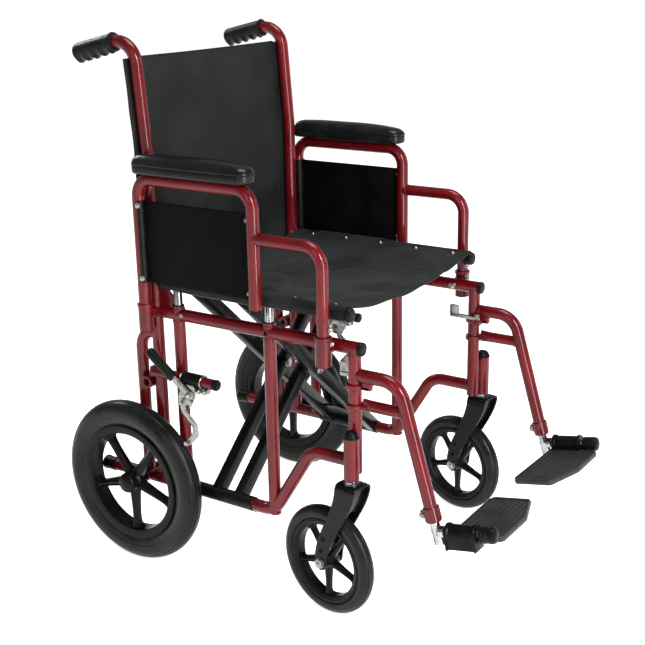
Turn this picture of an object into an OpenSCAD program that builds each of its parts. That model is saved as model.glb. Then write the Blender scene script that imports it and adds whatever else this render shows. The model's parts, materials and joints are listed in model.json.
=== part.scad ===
// Folding transport wheelchair: two tubular side frames, a scissor cross-brace, a seat and
// back sling, lift-off arms, swing-away footrests, fixed rear wheels and front casters.
// +Z is up, -Y is the way the sitter faces, +X is the sitter's left. Millimetres.
// Every side part is drawn for the left side and mirrored for the right.

/* [Side frames] */
// Distance from the middle to the plane of each side frame
frame_half = 212; // [205:1:230]
// Radius of the main frame tubes
tube_r = 11.1; // [10.5:0.1:12]
// How far the front upright stands in front of the origin
front_y = -177.5; // [-180:0.5:-175]
// Height of the lower rail's centre line
low_z = 150; // [145:1:155]
// Height of the side rail's centre line
rail_z = 482; // [470:1:490]
// Height of the push handle's bend
handle_z = 972; // [960:1:985]

/* [Seat] */
// Height of the seat rails' centre lines
seat_z = 536; // [530:1:545]
// How far the seat sling sags in the middle
seat_sag = 16; // [5:1:25]
// Thickness of the sling cloth
cloth_t = 3; // [2:0.5:4]

/* [Arms] */
// Gap between the side frame's tubes and the arm posts' sockets
arm_gap = 4.5; // [3:0.5:7]
// Height of the arm's top tube
arm_z = 727; // [715:1:740]
// Height of the step tube in front of the arm
step_z = 648; // [640:1:660]
// Width of the arm pad
pad_w = 48; // [42:1:54]

/* [Footrests] */
// Height of the hanger's top tube
hanger_z = 437; // [432:1:442]
// Height of the footplate shaft at the post
shaft_z = 197; // [192:1:202]
// Upward tilt of the footplates towards the toes, in degrees
toe_up = 10.8; // [8:0.1:13]
// Distance from the middle to the footplate's inner edge
plate_in = 40; // [35:1:50]

/* [Wheels] */
// Radius of the rear wheels
rear_r = 156; // [152:1:160]
// Width of the rear tyres
rear_w = 42; // [38:1:44]
// Radius of the front casters
caster_r = 98; // [94:1:102]
// Width of the caster tyres
caster_w = 28; // [24:1:29]
// Turn of both casters at rest, in degrees
caster_turn = -9; // [-12:1:12]
// Number of wheel spokes
spokes = 5; // [4:1:6]

/* [Cross-brace] */
// Width of a brace bar, along Y
bar_w = 18; // [16:1:20]
// Depth of a brace bar
bar_d = 26; // [24:1:30]
// Half the spacing of the inner pair of bars
inner_half = 25; // [24:1:26]
// Half the spacing of the outer pair of bars
outer_half = 50; // [49:1:51]

/* [Hidden] */

$fn = 48;
gap = 0.3;                        // between welded neighbours that are separate nodes
run = 0.3;                        // between parts that turn or slide on each other
lap = 0.6;                        // how far a straight tube runs into its bend
bend_swell = 0.12;                // how much thicker a bend is than its straights
spoke_lead = 39;                  // angle of the first spoke from straight up
big = 400;                        // longer than any cut needs

// Places along the frame, from the front upright
rail_front = front_y - 12;
arm_front_y = front_y + 41;
up_bend_y = front_y + 89;
mid_y = front_y + 170;
low_bend_y = front_y + 171;
arm_mid_y = front_y + 175;
rear_guide_y = front_y + 370;
cane_y = front_y + 422;
axle_y = front_y + 464;
spare_y = (cane_y + axle_y) / 2;
brace_y = front_y + 276;
tip_y = front_y + 550;
raised_z = 283;
cane_lean_z = 780;
cane_top_y = cane_y + 15;
grip_start_y = front_y + 480;
grip_end_y = front_y + 570;
grip_drop = 13;                   // slope of the handle, degrees

// Side planes
socket_r = 13.4;
arm_x = frame_half + tube_r + arm_gap + socket_r;
stub_r = 9.5;
stub_x = frame_half + tube_r + stub_r + gap;
stub_z = 372;
housing_r = 13;
housing_x = frame_half + tube_r + housing_r + 1.5;
housing_y = front_y - 8;
housing_bottom = 262;
housing_top = 338;
rear_x = frame_half + 44;
hub_half = 20;
post_r = 8;
post_bottom = 262;
axle_r = 6;
stem_r = 6;
caster_bolt_r = 4;
brace_bolt_r = 5;

// Cross-brace
brace_len = norm([2 * frame_half, seat_z - low_z]);
brace_angle = atan2(seat_z - low_z, 2 * frame_half);
brace_mid_z = (seat_z + low_z) / 2;
sleeve_r = 13.6;

// Footrest
hanger_low = [front_y - 148, 215];
hanger_bend = [front_y - 83, hanger_z];
post_dir = (hanger_low - hanger_bend) / norm(hanger_low - hanger_bend);
foot_post_r = 8;
shaft_y = front_y - 152;
shaft_r = 7;

cane_path = [
  [cane_y, low_z], [cane_y, cane_lean_z, 260], [cane_top_y, handle_z, 40],
  [grip_end_y - 4, handle_z - (grip_end_y - 4 - cane_top_y) * tan(grip_drop)]
];
low_path = [
  [tip_y, low_z], [low_bend_y, low_z, 42], [up_bend_y, raised_z, 42], [front_y, raised_z]
];
hanger_path = [[front_y - 13, hanger_z], [hanger_bend.x, hanger_bend.y, 42], hanger_low];

function unit(v) = v / norm(v);
function point(path, i) = [path[i].x, path[i].y];
function to_last(path, i) = unit(point(path, i - 1) - point(path, i));
function to_next(path, i) = unit(point(path, i + 1) - point(path, i));
function half_angle(path, i) = acos(to_last(path, i) * to_next(path, i)) / 2;
function is_end(path, i) = i == 0 || i == len(path) - 1;
function tangent(path, i) = is_end(path, i) ? 0 : path[i][2] / tan(half_angle(path, i));

module left() { children(); }
module right() { mirror([1, 0, 0]) children(); }

// Rods along each axis, by their two ends
module rod_x(x0, x1, y, z, r) { translate([x0, y, z]) rotate([0, 90, 0]) cylinder(h = x1 - x0, r = r); }
module rod_y(y0, y1, x, z, r) { translate([x, y0, z]) rotate([-90, 0, 0]) cylinder(h = y1 - y0, r = r); }
module rod_z(z0, z1, x, y, r) { translate([x, y, z0]) cylinder(h = z1 - z0, r = r); }

// Rod in a plane of constant x, between two [y, z] points
module rod_yz(x, a, b, r) {
  translate([x, a.x, a.y])
    rotate([-atan2(b.x - a.x, b.y - a.y), 0, 0])
      cylinder(h = norm(b - a), r = r);
}

// Maps a drawing of [y, z] into a plane of constant x, with its thickness along +X
module in_side_plane(x) { translate([x, 0, 0]) rotate([90, 0, 90]) children(); }

// Bent tube in a plane of constant x, through [y, z, bend radius] points. The bends are a
// hair thicker than the straights, which run a little way into them.
module bent_tube(path, x, r) {
  for (i = [0 : len(path) - 2]) {
    go = to_next(path, i);
    a = point(path, i) + go * (tangent(path, i) - (i > 0 ? lap : 0));
    b = point(path, i + 1) - go * (tangent(path, i + 1) - (i < len(path) - 2 ? lap : 0));
    rod_yz(x, a, b, r);
  }
  for (i = [1 : 1 : len(path) - 2]) {
    u = to_last(path, i);
    w = to_next(path, i);
    h = half_angle(path, i);
    c = point(path, i) + unit(u + w) * path[i][2] / sin(h);
    p = point(path, i) + u * tangent(path, i) - c;
    q = point(path, i) + w * tangent(path, i) - c;
    start = cross(p, q) > 0 ? p : q;
    in_side_plane(x)
      translate([c.x, c.y, 0])
        rotate([0, 0, atan2(start.y, start.x)])
          rotate_extrude(angle = 180 - 2 * h)
            translate([path[i][2], 0]) circle(r = r + bend_swell);
  }
}

// Flat bar in a plane of constant x, through [y, z] points, with mitred corners and a round
// ear at each end
module flat_bar(path, x, width, thick) {
  last = len(path) - 1;
  in_side_plane(x) linear_extrude(height = thick) {
    polygon(concat(
      [for (i = [0 : last]) bar_edge(path, i, width / 2)],
      [for (i = [last : -1 : 0]) bar_edge(path, i, -width / 2)]
    ));
    for (i = [0, last]) translate(path[i]) circle(d = width + 2);
  }
}

// Point of a bar's edge beside path point i, on the mitre line
function bar_edge(path, i, offset) =
  let (
    before = unit(path[max(i, 1)] - path[max(i, 1) - 1]),
    after = unit(path[min(i + 1, len(path) - 1)] - path[min(i, len(path) - 2)]),
    across = unit([-(before.y + after.y), before.x + after.x])
  )
  path[i] + across * offset / (across * [-before.y, before.x]);

// Box by its low and high corners
module box(low, high) { translate(low) cube(high - low); }

// ---------- Side frame ----------

module back_cane() {
  color("#7a1020")
    difference() {
      bent_tube(cane_path, frame_half, tube_r);
      rod_y(cane_y - 50, cane_y + 50, frame_half, low_z, tube_r + gap);
      for (z = screw_heights) rod_y(cane_y, cane_y + 60, frame_half, z, 2.3);
    }
}

screw_heights = [600, 740, 870];
guides = [mid_y, rear_guide_y];

module upper_frame() {
  color("#7a1020")
    difference() {
      union() {
        rod_y(rail_front, cane_y, frame_half, rail_z, tube_r);
        for (y = guides) rod_z(low_z, rail_z, frame_half, y, tube_r - 0.4);
        rail_gusset();
        arm_socket(arm_front_y, 452, 503);
        arm_socket(cane_y, 452, 503);
      }
      for (y = guides) rod_z(post_bottom - 12, rail_z + 20, frame_half, y, post_r + gap);
      bent_tube(low_path, frame_half, tube_r + gap);
      rod_z(0, 700, frame_half, cane_y, tube_r + gap);
      arm_bore(arm_front_y, 10.5 + run);
      arm_bore(cane_y, tube_r + run);
      rod_x(frame_half - 30, arm_x - socket_r, arm_front_y, rail_z, 3.1);
    }
}

// Triangular plate in the corner of the side rail and the cane
module rail_gusset() {
  in_side_plane(frame_half - 2) linear_extrude(height = 4)
    difference() {
      polygon([[cane_y - 48, rail_z], [cane_y, rail_z], [cane_y, rail_z + 46]]);
      translate([cane_y - 58, rail_z + 56]) circle(r = 44);
    }
}

// Tube that holds an arm post, with the pad that joins it to the frame
module arm_socket(y, low, high) {
  rod_z(low, high, arm_x, y, socket_r);
  box([frame_half + tube_r - 3, y - 9, rail_z - 10], [arm_x - socket_r + 3, y + 9, rail_z + 10]);
}

module arm_bore(y, r) { rod_z(456, 520, arm_x, y, r); }

module lower_rail() {
  color("#7a1020")
    difference() {
      bent_tube(low_path, frame_half, tube_r);
      rod_z(0, big, frame_half, front_y, tube_r + gap);
      rod_x(frame_half - 30, frame_half + 30, axle_y, rear_r, axle_r + gap);
    }
}

module front_upright() {
  color("#7a1020")
    difference() {
      union() {
        rod_z(266, rail_z, frame_half, front_y, tube_r);
        rod_z(housing_bottom, housing_top, housing_x, housing_y, housing_r);
        box([frame_half + 4, front_y - 7, 272], [housing_x - 8, front_y - 1, 330]);
      }
      rod_y(rail_front - 5, front_y + 40, frame_half, rail_z, tube_r + gap);
      rod_z(housing_bottom - 1, housing_top - 8, housing_x, housing_y, stem_r + 0.1);
    }
}

module rear_hoop() {
  hoop_path = [[axle_y, low_z], [axle_y, 440, 34], [cane_y, 440]];
  color("#7a1020")
    difference() {
      union() {
        bent_tube(hoop_path, frame_half, tube_r - 0.3);
        rod_x(frame_half - 18, frame_half + 20, axle_y, rear_r, 14);
        rod_x(frame_half - 14, frame_half + 18, spare_y, 345, 12);
        rod_y(stub_front, cane_y + 8, stub_x, stub_z, stub_r);
        box([frame_half + 8, cane_y - 7, stub_z - 7], [stub_x, cane_y + 7, stub_z + 7]);
      }
      rod_y(axle_y - 60, axle_y + 60, frame_half, low_z, tube_r + gap);
      rod_z(0, 700, frame_half, cane_y, tube_r + gap);
      rod_x(frame_half - 30, frame_half + 30, axle_y, rear_r, axle_r + gap);
      rod_x(frame_half - 30, frame_half + 30, spare_y, 345, spare_bore_r);
    }
}

stub_front = front_y + 276;
spare_bore_r = 6.4;

module end_caps() {
  color("#16161a") {
    rod_y(rail_front - 5, rail_front, frame_half, rail_z, tube_r + 0.8);
    rod_y(stub_front - 5, stub_front, stub_x, stub_z, stub_r + 0.7);
    rod_y(tip_y, tip_y + 30, frame_half, low_z, tube_r + 1.6);
    intersection() {
      translate([housing_x, housing_y, housing_top - 6]) sphere(r = 17);
      rod_z(housing_top, housing_top + 20, housing_x, housing_y, housing_r + 1);
    }
  }
}

module handle_grip() {
  slope = [cos(grip_drop), -sin(grip_drop)];
  first = [cane_top_y, handle_z] + slope * (grip_start_y - cane_top_y) / cos(grip_drop);
  last = [cane_top_y, handle_z] + slope * (grip_end_y - cane_top_y) / cos(grip_drop);
  color("#1b1b1e")
    difference() {
      union() {
        rod_yz(frame_half, first, last, 16);
        rod_yz(frame_half, first, first + slope * 4, 17.5);
      }
      rod_yz(frame_half, first - slope * 10, last - slope * 4, tube_r + gap);
    }
}

module frame_screws() {
  color("silver") {
    for (z = screw_heights) {
      y = back_face(z) + cloth_t;
      rod_y(back_face(z) - 8, y + 1.5, frame_half, z, 2);
      rod_y(y + 0.9, y + 3.4, frame_half, z, 5.5);
    }
    rod_x(frame_half - 17, arm_x - socket_r - 1, arm_front_y, rail_z, 3);
    rod_x(frame_half - 16, frame_half - tube_r - 0.2, arm_front_y, rail_z, 6);
  }
}

// Rear surface of the cane, where the back sling lies
function back_face(z) =
  cane_y + tube_r + 0.6 + max(0, z - cane_lean_z) * (cane_top_y - cane_y) / (handle_z - cane_lean_z);

// ---------- Arms ----------

module arm_frame() {
  loop_path = [[cane_y, 459], [cane_y, arm_z, 32], [arm_mid_y, arm_z, 32], [arm_mid_y, 527]];
  step_path = [[arm_mid_y, step_z], [arm_front_y, step_z, 34], [arm_front_y, 459]];
  color("#8a1426") {
    bent_tube(loop_path, arm_x, tube_r);
    bent_tube(step_path, arm_x, 10.5);
  }
}

module arm_pad() {
  front = arm_mid_y - 2;
  back = cane_y + 4;
  low = arm_z + tube_r + gap;
  color("#141416")
    hull()
      for (y = [front + pad_w / 2, back - pad_w / 2]) {
        rod_z(low, low + 26, arm_x, y, pad_w / 2);
        rod_z(low, low + 34, arm_x, y, pad_w / 2 - 6);
      }
}

module skirt_guard() {
  color("#101012")
    difference() {
      union() {
        box([arm_x - 1.5, arm_mid_y, 543], [arm_x + 1.5, cane_y, 689]);
        rod_z(543, 689, arm_x, cane_y, tube_r + 2);
      }
      rod_z(500, 700, arm_x, cane_y, tube_r + gap);
      rod_z(500, 700, arm_x, arm_mid_y, tube_r + gap);
    }
}

// ---------- Footrests ----------

module footrest_hanger() {
  color("#8a1426")
    difference() {
      union() {
        bent_tube(hanger_path, frame_half, tube_r);
        rod_yz(frame_half, [front_y - 42, 388], [front_y - 98, 388], 9.5);
        box([frame_half - 4, front_y - 44, 378], [frame_half + 4, front_y - 10, 398]);
        hinge_collar(378);
        hinge_collar(413);
        box([frame_half - 5, front_y - 34, 413], [frame_half + 5, front_y - 10, 432]);
        box([frame_half - 25, front_y - 22, 413], [frame_half, front_y - 10, 423]);
        rod_yz(frame_half, hanger_low - post_dir * 24, hanger_low, 14);
        rod_yz(frame_half + 8, hanger_low - post_dir * 16 + [16, 0], hanger_low - post_dir * 8 + [16, 0], 7);
      }
      rod_z(300, hanger_z + 20, frame_half, front_y, tube_r + run);
      rod_yz(frame_half, hanger_low - post_dir * 110, hanger_low + post_dir * 10, foot_post_r + run);
      rod_z(400, 424, latch_x, latch_y, 2.6);
    }
}

latch_x = frame_half - 19;
latch_y = front_y - 16;

// Ring round the front upright that the hanger turns on
module hinge_collar(z) { rod_z(z, z + 10, frame_half, front_y, tube_r + 4.5); }

module foot_post() {
  along = hanger_low + post_dir * 42;
  eye = [shaft_y, shaft_z];
  forward = [-cos(toe_up), sin(toe_up)];
  color("silver") {
    rod_yz(frame_half, hanger_low - post_dir * 95, along, foot_post_r);
    rod_yz(frame_half, eye, eye + forward * 106, shaft_r);
  }
}

// Plate and hinge barrel, with the shaft's end knob
module footplate() {
  color("#1c1c1f")
    translate([0, shaft_y, shaft_z])
      rotate([-toe_up, 0, 0]) {
        difference() {
          union() {
            rod_y(-76, -22, frame_half, 0, 15);
            box([frame_half - 12, -72, -27], [frame_half + 15, -26, 0]);
            plate_slab();
          }
          rod_y(-100, 10, frame_half, 0, shaft_r + run);
        }
        difference() {
          rod_y(-110, -82, frame_half, 0, 13);
          rod_y(-107, -70, frame_half, 0, shaft_r + run);
        }
      }
}

module plate_slab() {
  outer = frame_half + 4;
  translate([0, 0, -16])
    linear_extrude(height = 8)
      polygon([
        [plate_in, -24], [plate_in + 10, -18], [outer - 10, -22], [outer, -30], [outer, -74],
        [outer - 20, -112], [plate_in + 74, -112], [plate_in, -90]
      ]);
}

module footrest_latch() {
  x = latch_x;
  color("silver") {
    box([x - 3, latch_y - 6, 423.5], [x + 3, latch_y + 57, 430.5]);
    box([x - 2, latch_y + 38, 429], [x + 1, latch_y + 57, 448]);
    rod_z(414, 434, x, latch_y, 2.4);
  }
}

// ---------- Wheels ----------

// Solid tyre of radius r and width w, whose inner radius is inner
module tyre(r, w, inner) {
  crown = w / 2;
  rotate([0, 90, 0])
    rotate_extrude($fn = 96) {
      intersection() {
        translate([r - crown, 0]) circle(r = crown);
        translate([inner, -crown]) square([r, w]);
      }
      translate([inner, -w / 2 + 3]) square([r - crown - inner, w - 6]);
    }
}

// Spoked wheel centre with its hub and bore
module rim(outer, inner, w, hub_r, hub_half, bore_r, spoke_w) {
  difference() {
    union() {
      rod_x(-hub_half, hub_half, 0, 0, hub_r);
      difference() {
        rod_x(-w / 2, w / 2, 0, 0, outer);
        rod_x(-w / 2 - 1, w / 2 + 1, 0, 0, inner);
      }
      in_side_plane(-w / 4) linear_extrude(height = w / 2)
        for (i = [0 : spokes - 1])
          rotate([0, 0, i * 360 / spokes + spoke_lead])
            polygon([
              [-spoke_w / 2, hub_r * 0.8], [spoke_w / 2, hub_r * 0.8],
              [spoke_w / 3, inner + 4], [-spoke_w / 3, inner + 4]
            ]);
    }
    rod_x(-hub_half - 1, hub_half + 1, 0, 0, bore_r);
  }
}

module rear_tyre() {
  color("#26272b") translate([rear_x, axle_y, rear_r]) tyre(rear_r, rear_w, 109);
}

module rear_rim() {
  color("#121214")
    translate([rear_x, axle_y, rear_r])
      rim(108.8, 95, 32, 21, hub_half, axle_r + 0.05, 24);
}

module rear_axle() {
  end = rear_x + hub_half;
  color("silver") {
    rod_x(frame_half - 24, end + 8, axle_y, rear_r, axle_r);
    rod_x(frame_half - 26, frame_half - 18.2, axle_y, rear_r, 11);
    rod_x(end + 0.3, end + 6, axle_y, rear_r, 16);
    rod_x(frame_half + 20.3, rear_x - hub_half - 0.3, axle_y, rear_r, 11);
  }
}

// Turns the caster about its stem, the same way on both sides
module caster_turned(side) {
  translate([housing_x, housing_y, 0])
    rotate([0, 0, side * caster_turn])
      children();
}

trail = 55;
fork_in = 18;
fork_out = 22;
fork_top = 257;

module caster_tyre(side) {
  color("#26272b")
    caster_turned(side) translate([0, trail, caster_r]) tyre(caster_r, caster_w, 74);
}

module caster_rim(side) {
  color("#121214")
    caster_turned(side)
      translate([0, trail, caster_r])
        rim(73.8, 64, 22, 15, fork_in - 0.6, caster_bolt_r + 0.05, 16);
}

// Centre line and half width of a fork leg, from the head (t = 0) to the axle (t = 1)
function leg_y(t) = -2 + (trail + 2) * (3 * t * t - 2 * t * t * t);
function leg_z(t) = fork_top - (fork_top - caster_r) * t;
function leg_half(t) = 22 - 9 * t;
leg_steps = [for (i = [0 : 14]) i / 14];

module fork_leg() {
  in_side_plane(fork_in)
    linear_extrude(height = fork_out - fork_in)
      difference() {
        union() {
          polygon(concat(
            [for (t = leg_steps) [leg_y(t) - leg_half(t), leg_z(t)]],
            [for (i = [14 : -1 : 0]) [leg_y(i / 14) + leg_half(i / 14), leg_z(i / 14)]]
          ));
          translate([trail, caster_r]) circle(r = 13);
        }
        translate([trail, caster_r]) circle(r = caster_bolt_r + 0.1);
        translate([trail - 2, caster_r + 24]) circle(r = caster_bolt_r + 0.1);
        translate([trail - 8, caster_r + 48]) circle(r = caster_bolt_r + 0.1);
      }
}

module caster_fork(side) {
  color("#141416")
    caster_turned(side) {
      fork_leg();
      mirror([1, 0, 0]) fork_leg();
      box([-fork_in - 1, -24, fork_top - 5], [fork_in + 1, 20, fork_top]);
      box([-fork_in - 1, -24, 232], [fork_in + 1, -20, fork_top - 2]);
      rod_z(fork_top - 1, housing_bottom - 0.4, 0, 0, 11);
      rod_z(fork_top - 1, housing_top - 12, 0, 0, stem_r);
    }
}

module caster_axle(side) {
  color("silver")
    caster_turned(side) {
      rod_x(-fork_out - 5, fork_out + 5, trail, caster_r, caster_bolt_r);
      rod_x(fork_out + 0.2, fork_out + 5, trail, caster_r, 8);
      rod_x(-fork_out - 5, -fork_out - 0.2, trail, caster_r, 8);
    }
}

// ---------- Wheel lock ----------

lever_y = front_y + 323;
lever_z = 350;
shoe_y = lever_y + 14;
shoe_z = lever_z - 16;
plate_x = stub_x + stub_r + 3;

module brake_clamp() {
  color("#18181b")
    difference() {
      union() {
        rod_y(lever_y - 20, lever_y + 26, stub_x, stub_z, stub_r + 3);
        flat_bar([[lever_y, stub_z], [lever_y, lever_z], [shoe_y, shoe_z]], plate_x - 4, 20, 4);
        rod_x(plate_x - 4, plate_x + 5, lever_y, lever_z, 3.5);
        rod_x(plate_x - 4, plate_x + 13, shoe_y, shoe_z, 3.5);
      }
      rod_y(lever_y - 40, lever_y + 60, stub_x, stub_z, stub_r + gap);
    }
}

module brake_lever() {
  tip = [lever_y + 90, lever_z + 69];
  mid = [lever_y + 34, lever_z + 26];
  color("silver")
    difference() {
      union() {
        flat_bar([[lever_y, lever_z], mid], plate_x + 0.4, 16, 4);
        rod_yz(plate_x + 6, mid, tip, 8);
      }
      rod_x(plate_x - 10, plate_x + 10, lever_y, lever_z, 3.5 + 0.1);
    }
}

shoe_tip = [shoe_y - 8, shoe_z - 75];

module brake_shoe() {
  path = [
    [shoe_y, shoe_z], [shoe_y - 2, shoe_z - 16], [shoe_y - 26, shoe_z - 38],
    [shoe_y - 28, shoe_z - 54], shoe_tip
  ];
  color("silver")
    difference() {
      union() {
        flat_bar(path, plate_x + 6, 12, 4);
        rod_x(plate_x, plate_x + 16, shoe_tip.x, shoe_tip.y, 5);
      }
      rod_x(plate_x - 10, plate_x + 20, shoe_y, shoe_z, 3.5 + 0.1);
    }
}

// ---------- Seat and cross-brace ----------

module seat_rail() {
  front = front_y + 7;
  back = front_y + 406;
  color("#151517") {
    rod_y(front + 4, back - 4, frame_half, seat_z, tube_r);
    rod_y(front, front + 4, frame_half, seat_z, tube_r + 1);
    rod_y(back - 4, back, frame_half, seat_z, tube_r + 1);
  }
}

module guide_posts() {
  color("silver")
    difference() {
      for (y = guides) rod_z(post_bottom, seat_z, frame_half, y, post_r);
      rod_y(front_y, cane_y, frame_half, seat_z, tube_r + 0.05);
    }
}

// Brace that rises from the right rail to the left seat rail, with bars at +-spacing
module brace(spacing) {
  difference() {
    union() {
      for (side = [-1, 1])
        translate([-frame_half, brace_y + side * spacing - bar_w / 2, low_z])
          rotate([0, -brace_angle, 0])
            translate([0, 0, -bar_d / 2]) cube([brace_len, bar_w, bar_d]);
      rod_y(brace_y - 61, brace_y + 79, -frame_half, low_z, sleeve_r);
      rod_y(brace_y - 68, brace_y + 68, frame_half, seat_z, sleeve_r);
    }
    rod_y(0, big, -frame_half, low_z, tube_r + run);
    rod_y(0, big, frame_half, seat_z, tube_r + run);
    rod_y(0, big, 0, brace_mid_z, brace_bolt_r + 0.05);
  }
}

module cross_brace_a() { color("#141416") mirror([1, 0, 0]) brace(outer_half); }

module cross_brace_b() { color("#141416") brace(inner_half); }

module pivot_bolts() {
  inner = inner_half - bar_w / 2;
  outer = outer_half + bar_w / 2;
  color("silver")
    translate([0, brace_y, 0])
      for (side = [0, 1])
        mirror([0, side, 0]) {
          rod_y(inner - 7, outer + 6, 0, brace_mid_z, brace_bolt_r);
          rod_y(inner - 7, inner - 0.3, 0, brace_mid_z, 8.5);
          rod_y(inner + bar_w + 0.3, outer - bar_w - 0.3, 0, brace_mid_z, 11);
          rod_y(outer + 0.3, outer + 6, 0, brace_mid_z, 9);
        }
}

function sag(x, span, depth) = depth * (1 - pow(x / span, 2));

module seat_sling() {
  half = frame_half + 8;
  top = seat_z + sleeve_r + 1.8 + cloth_t;
  xs = [for (i = [-10 : 10]) i / 10 * half];
  color("#1d1d20")
    translate([0, front_y + 400, 0])
      rotate([90, 0, 0])
        linear_extrude(height = 388)
          polygon(concat(
            [for (x = xs) [x, top - sag(x, half, seat_sag)]],
            [for (i = [10 : -1 : -10]) [i / 10 * half, top - cloth_t - sag(i / 10 * half, half, seat_sag)]]
          ));
}

module back_sling() {
  low = 506;
  high = 926;
  color("#1d1d20")
    difference() {
      in_side_plane(-frame_half - 10)
        linear_extrude(height = 2 * frame_half + 20)
          polygon([
            [back_face(low), low], [back_face(cane_lean_z), cane_lean_z], [back_face(high), high],
            [back_face(high) + cloth_t, high], [back_face(cane_lean_z) + cloth_t, cane_lean_z],
            [back_face(low) + cloth_t, low]
          ]);
      for (side = [-1, 1])
        for (z = screw_heights)
          rod_y(cane_y, cane_y + 60, side * frame_half, z, 2.6);
    }
}

right() back_cane();  // back_cane_r
left() back_cane();  // back_cane_l
right() upper_frame();  // upper_frame_r
left() upper_frame();  // upper_frame_l
right() lower_rail();  // lower_rail_r
left() lower_rail();  // lower_rail_l
right() front_upright();  // front_upright_r
left() front_upright();  // front_upright_l
right() rear_hoop();  // rear_hoop_r
left() rear_hoop();  // rear_hoop_l
right() end_caps();  // end_caps_r
left() end_caps();  // end_caps_l
right() handle_grip();  // handle_grip_r
left() handle_grip();  // handle_grip_l
right() frame_screws();  // frame_screws_r
left() frame_screws();  // frame_screws_l
right() arm_frame();  // arm_frame_r
left() arm_frame();  // arm_frame_l
right() arm_pad();  // arm_pad_r
left() arm_pad();  // arm_pad_l
right() skirt_guard();  // skirt_guard_r
left() skirt_guard();  // skirt_guard_l
right() footrest_hanger();  // footrest_hanger_r
left() footrest_hanger();  // footrest_hanger_l
right() foot_post();  // foot_post_r
left() foot_post();  // foot_post_l
right() footplate();  // footplate_r
left() footplate();  // footplate_l
right() footrest_latch();  // footrest_latch_r
left() footrest_latch();  // footrest_latch_l
right() rear_tyre();  // rear_tyre_r
left() rear_tyre();  // rear_tyre_l
right() rear_rim();  // rear_rim_r
left() rear_rim();  // rear_rim_l
right() rear_axle();  // rear_axle_r
left() rear_axle();  // rear_axle_l
right() caster_tyre(-1);  // caster_tyre_r
left() caster_tyre(1);  // caster_tyre_l
right() caster_rim(-1);  // caster_rim_r
left() caster_rim(1);  // caster_rim_l
right() caster_fork(-1);  // caster_fork_r
left() caster_fork(1);  // caster_fork_l
right() caster_axle(-1);  // caster_axle_r
left() caster_axle(1);  // caster_axle_l
right() brake_clamp();  // brake_clamp_r
left() brake_clamp();  // brake_clamp_l
right() brake_lever();  // brake_lever_r
left() brake_lever();  // brake_lever_l
right() brake_shoe();  // brake_shoe_r
left() brake_shoe();  // brake_shoe_l
right() seat_rail();  // seat_rail_r
left() seat_rail();  // seat_rail_l
right() guide_posts();  // guide_posts_r
left() guide_posts();  // guide_posts_l
cross_brace_a();
cross_brace_b();
pivot_bolts();
seat_sling();
back_sling();
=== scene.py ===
"""Looks of a folding transport wheelchair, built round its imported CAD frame.

Lengths are in millimetres and every side piece is drawn for the left side, +X, then mirrored.
"""

import json
import random
from math import atan2, copysign, cos, exp, hypot, pi, radians, sin, sqrt, tan

import bmesh
import bpy
from mathutils import Matrix, Vector


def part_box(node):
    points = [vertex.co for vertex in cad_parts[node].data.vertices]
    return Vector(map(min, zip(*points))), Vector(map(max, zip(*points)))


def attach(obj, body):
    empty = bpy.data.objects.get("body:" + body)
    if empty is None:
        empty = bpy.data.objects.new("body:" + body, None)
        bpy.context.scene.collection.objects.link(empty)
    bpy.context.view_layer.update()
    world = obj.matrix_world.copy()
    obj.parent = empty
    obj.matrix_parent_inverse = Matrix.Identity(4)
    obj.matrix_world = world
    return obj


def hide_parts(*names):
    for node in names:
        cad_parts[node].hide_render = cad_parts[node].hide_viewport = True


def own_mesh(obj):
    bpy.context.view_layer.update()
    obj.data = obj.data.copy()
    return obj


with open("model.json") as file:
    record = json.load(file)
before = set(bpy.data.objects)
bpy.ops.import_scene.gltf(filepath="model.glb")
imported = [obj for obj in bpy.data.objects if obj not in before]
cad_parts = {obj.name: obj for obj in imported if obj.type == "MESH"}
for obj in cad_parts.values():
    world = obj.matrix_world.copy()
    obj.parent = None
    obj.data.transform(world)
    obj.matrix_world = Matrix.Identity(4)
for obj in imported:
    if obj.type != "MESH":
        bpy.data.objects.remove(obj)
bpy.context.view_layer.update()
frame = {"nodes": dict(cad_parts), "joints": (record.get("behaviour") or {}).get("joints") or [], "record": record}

MM = 0.001
scene = bpy.context.scene
SIDES = {"r": -1, "l": 1}
X, Y, Z = Vector((1, 0, 0)), Vector((0, 1, 0)), Vector((0, 0, 1))


# ---------- Places, from the frame ----------

pivots = {j["name"]: Vector(j["pos_m"]) / MM for j in frame["joints"] if j.get("pos_m")}


def ends(node, axis):
    """Lowest and highest place of a CAD node along an axis."""
    low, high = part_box(node)
    return low[axis] / MM, high[axis] / MM


side_x = pivots["side_turn_l"].x
tube_r = (ends("back_cane_l", 0)[1] - ends("back_cane_l", 0)[0]) / 2
low_z = pivots["fold"].z
brace_y = pivots["fold"].y
seat_z = pivots["seat_turn_l"].z
rail_z = seat_z - 54
front_y = pivots["hanger_swing_l"].y
cane_y = ends("back_cane_l", 1)[0] + tube_r
handle_z = ends("back_cane_l", 2)[1] - tube_r
axle = pivots["rear_wheel_spin_l"]
caster = pivots["caster_spin_l"]
stem = pivots["caster_swivel_l"]
lever = pivots["brake_lever_turn_l"]
shoe = pivots["brake_shoe_turn_l"]
shaft = pivots["footplate_flip_l"]
latch = pivots["latch_press_l"]
arm_x = (ends("arm_pad_l", 0)[0] + ends("arm_pad_l", 0)[1]) / 2
pad_half = (ends("arm_pad_l", 0)[1] - ends("arm_pad_l", 0)[0]) / 2
arm_z = ends("arm_frame_l", 2)[1] - tube_r
arm_front_y = front_y + 41
arm_mid_y = front_y + 175
step_z = arm_z - 79
guides = [front_y + 170, front_y + 370]
spare_y = (cane_y + axle.y) / 2
spare_z = seat_z - 191
stub_r = 9.5
stub_x = side_x + tube_r + stub_r + 0.2
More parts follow.
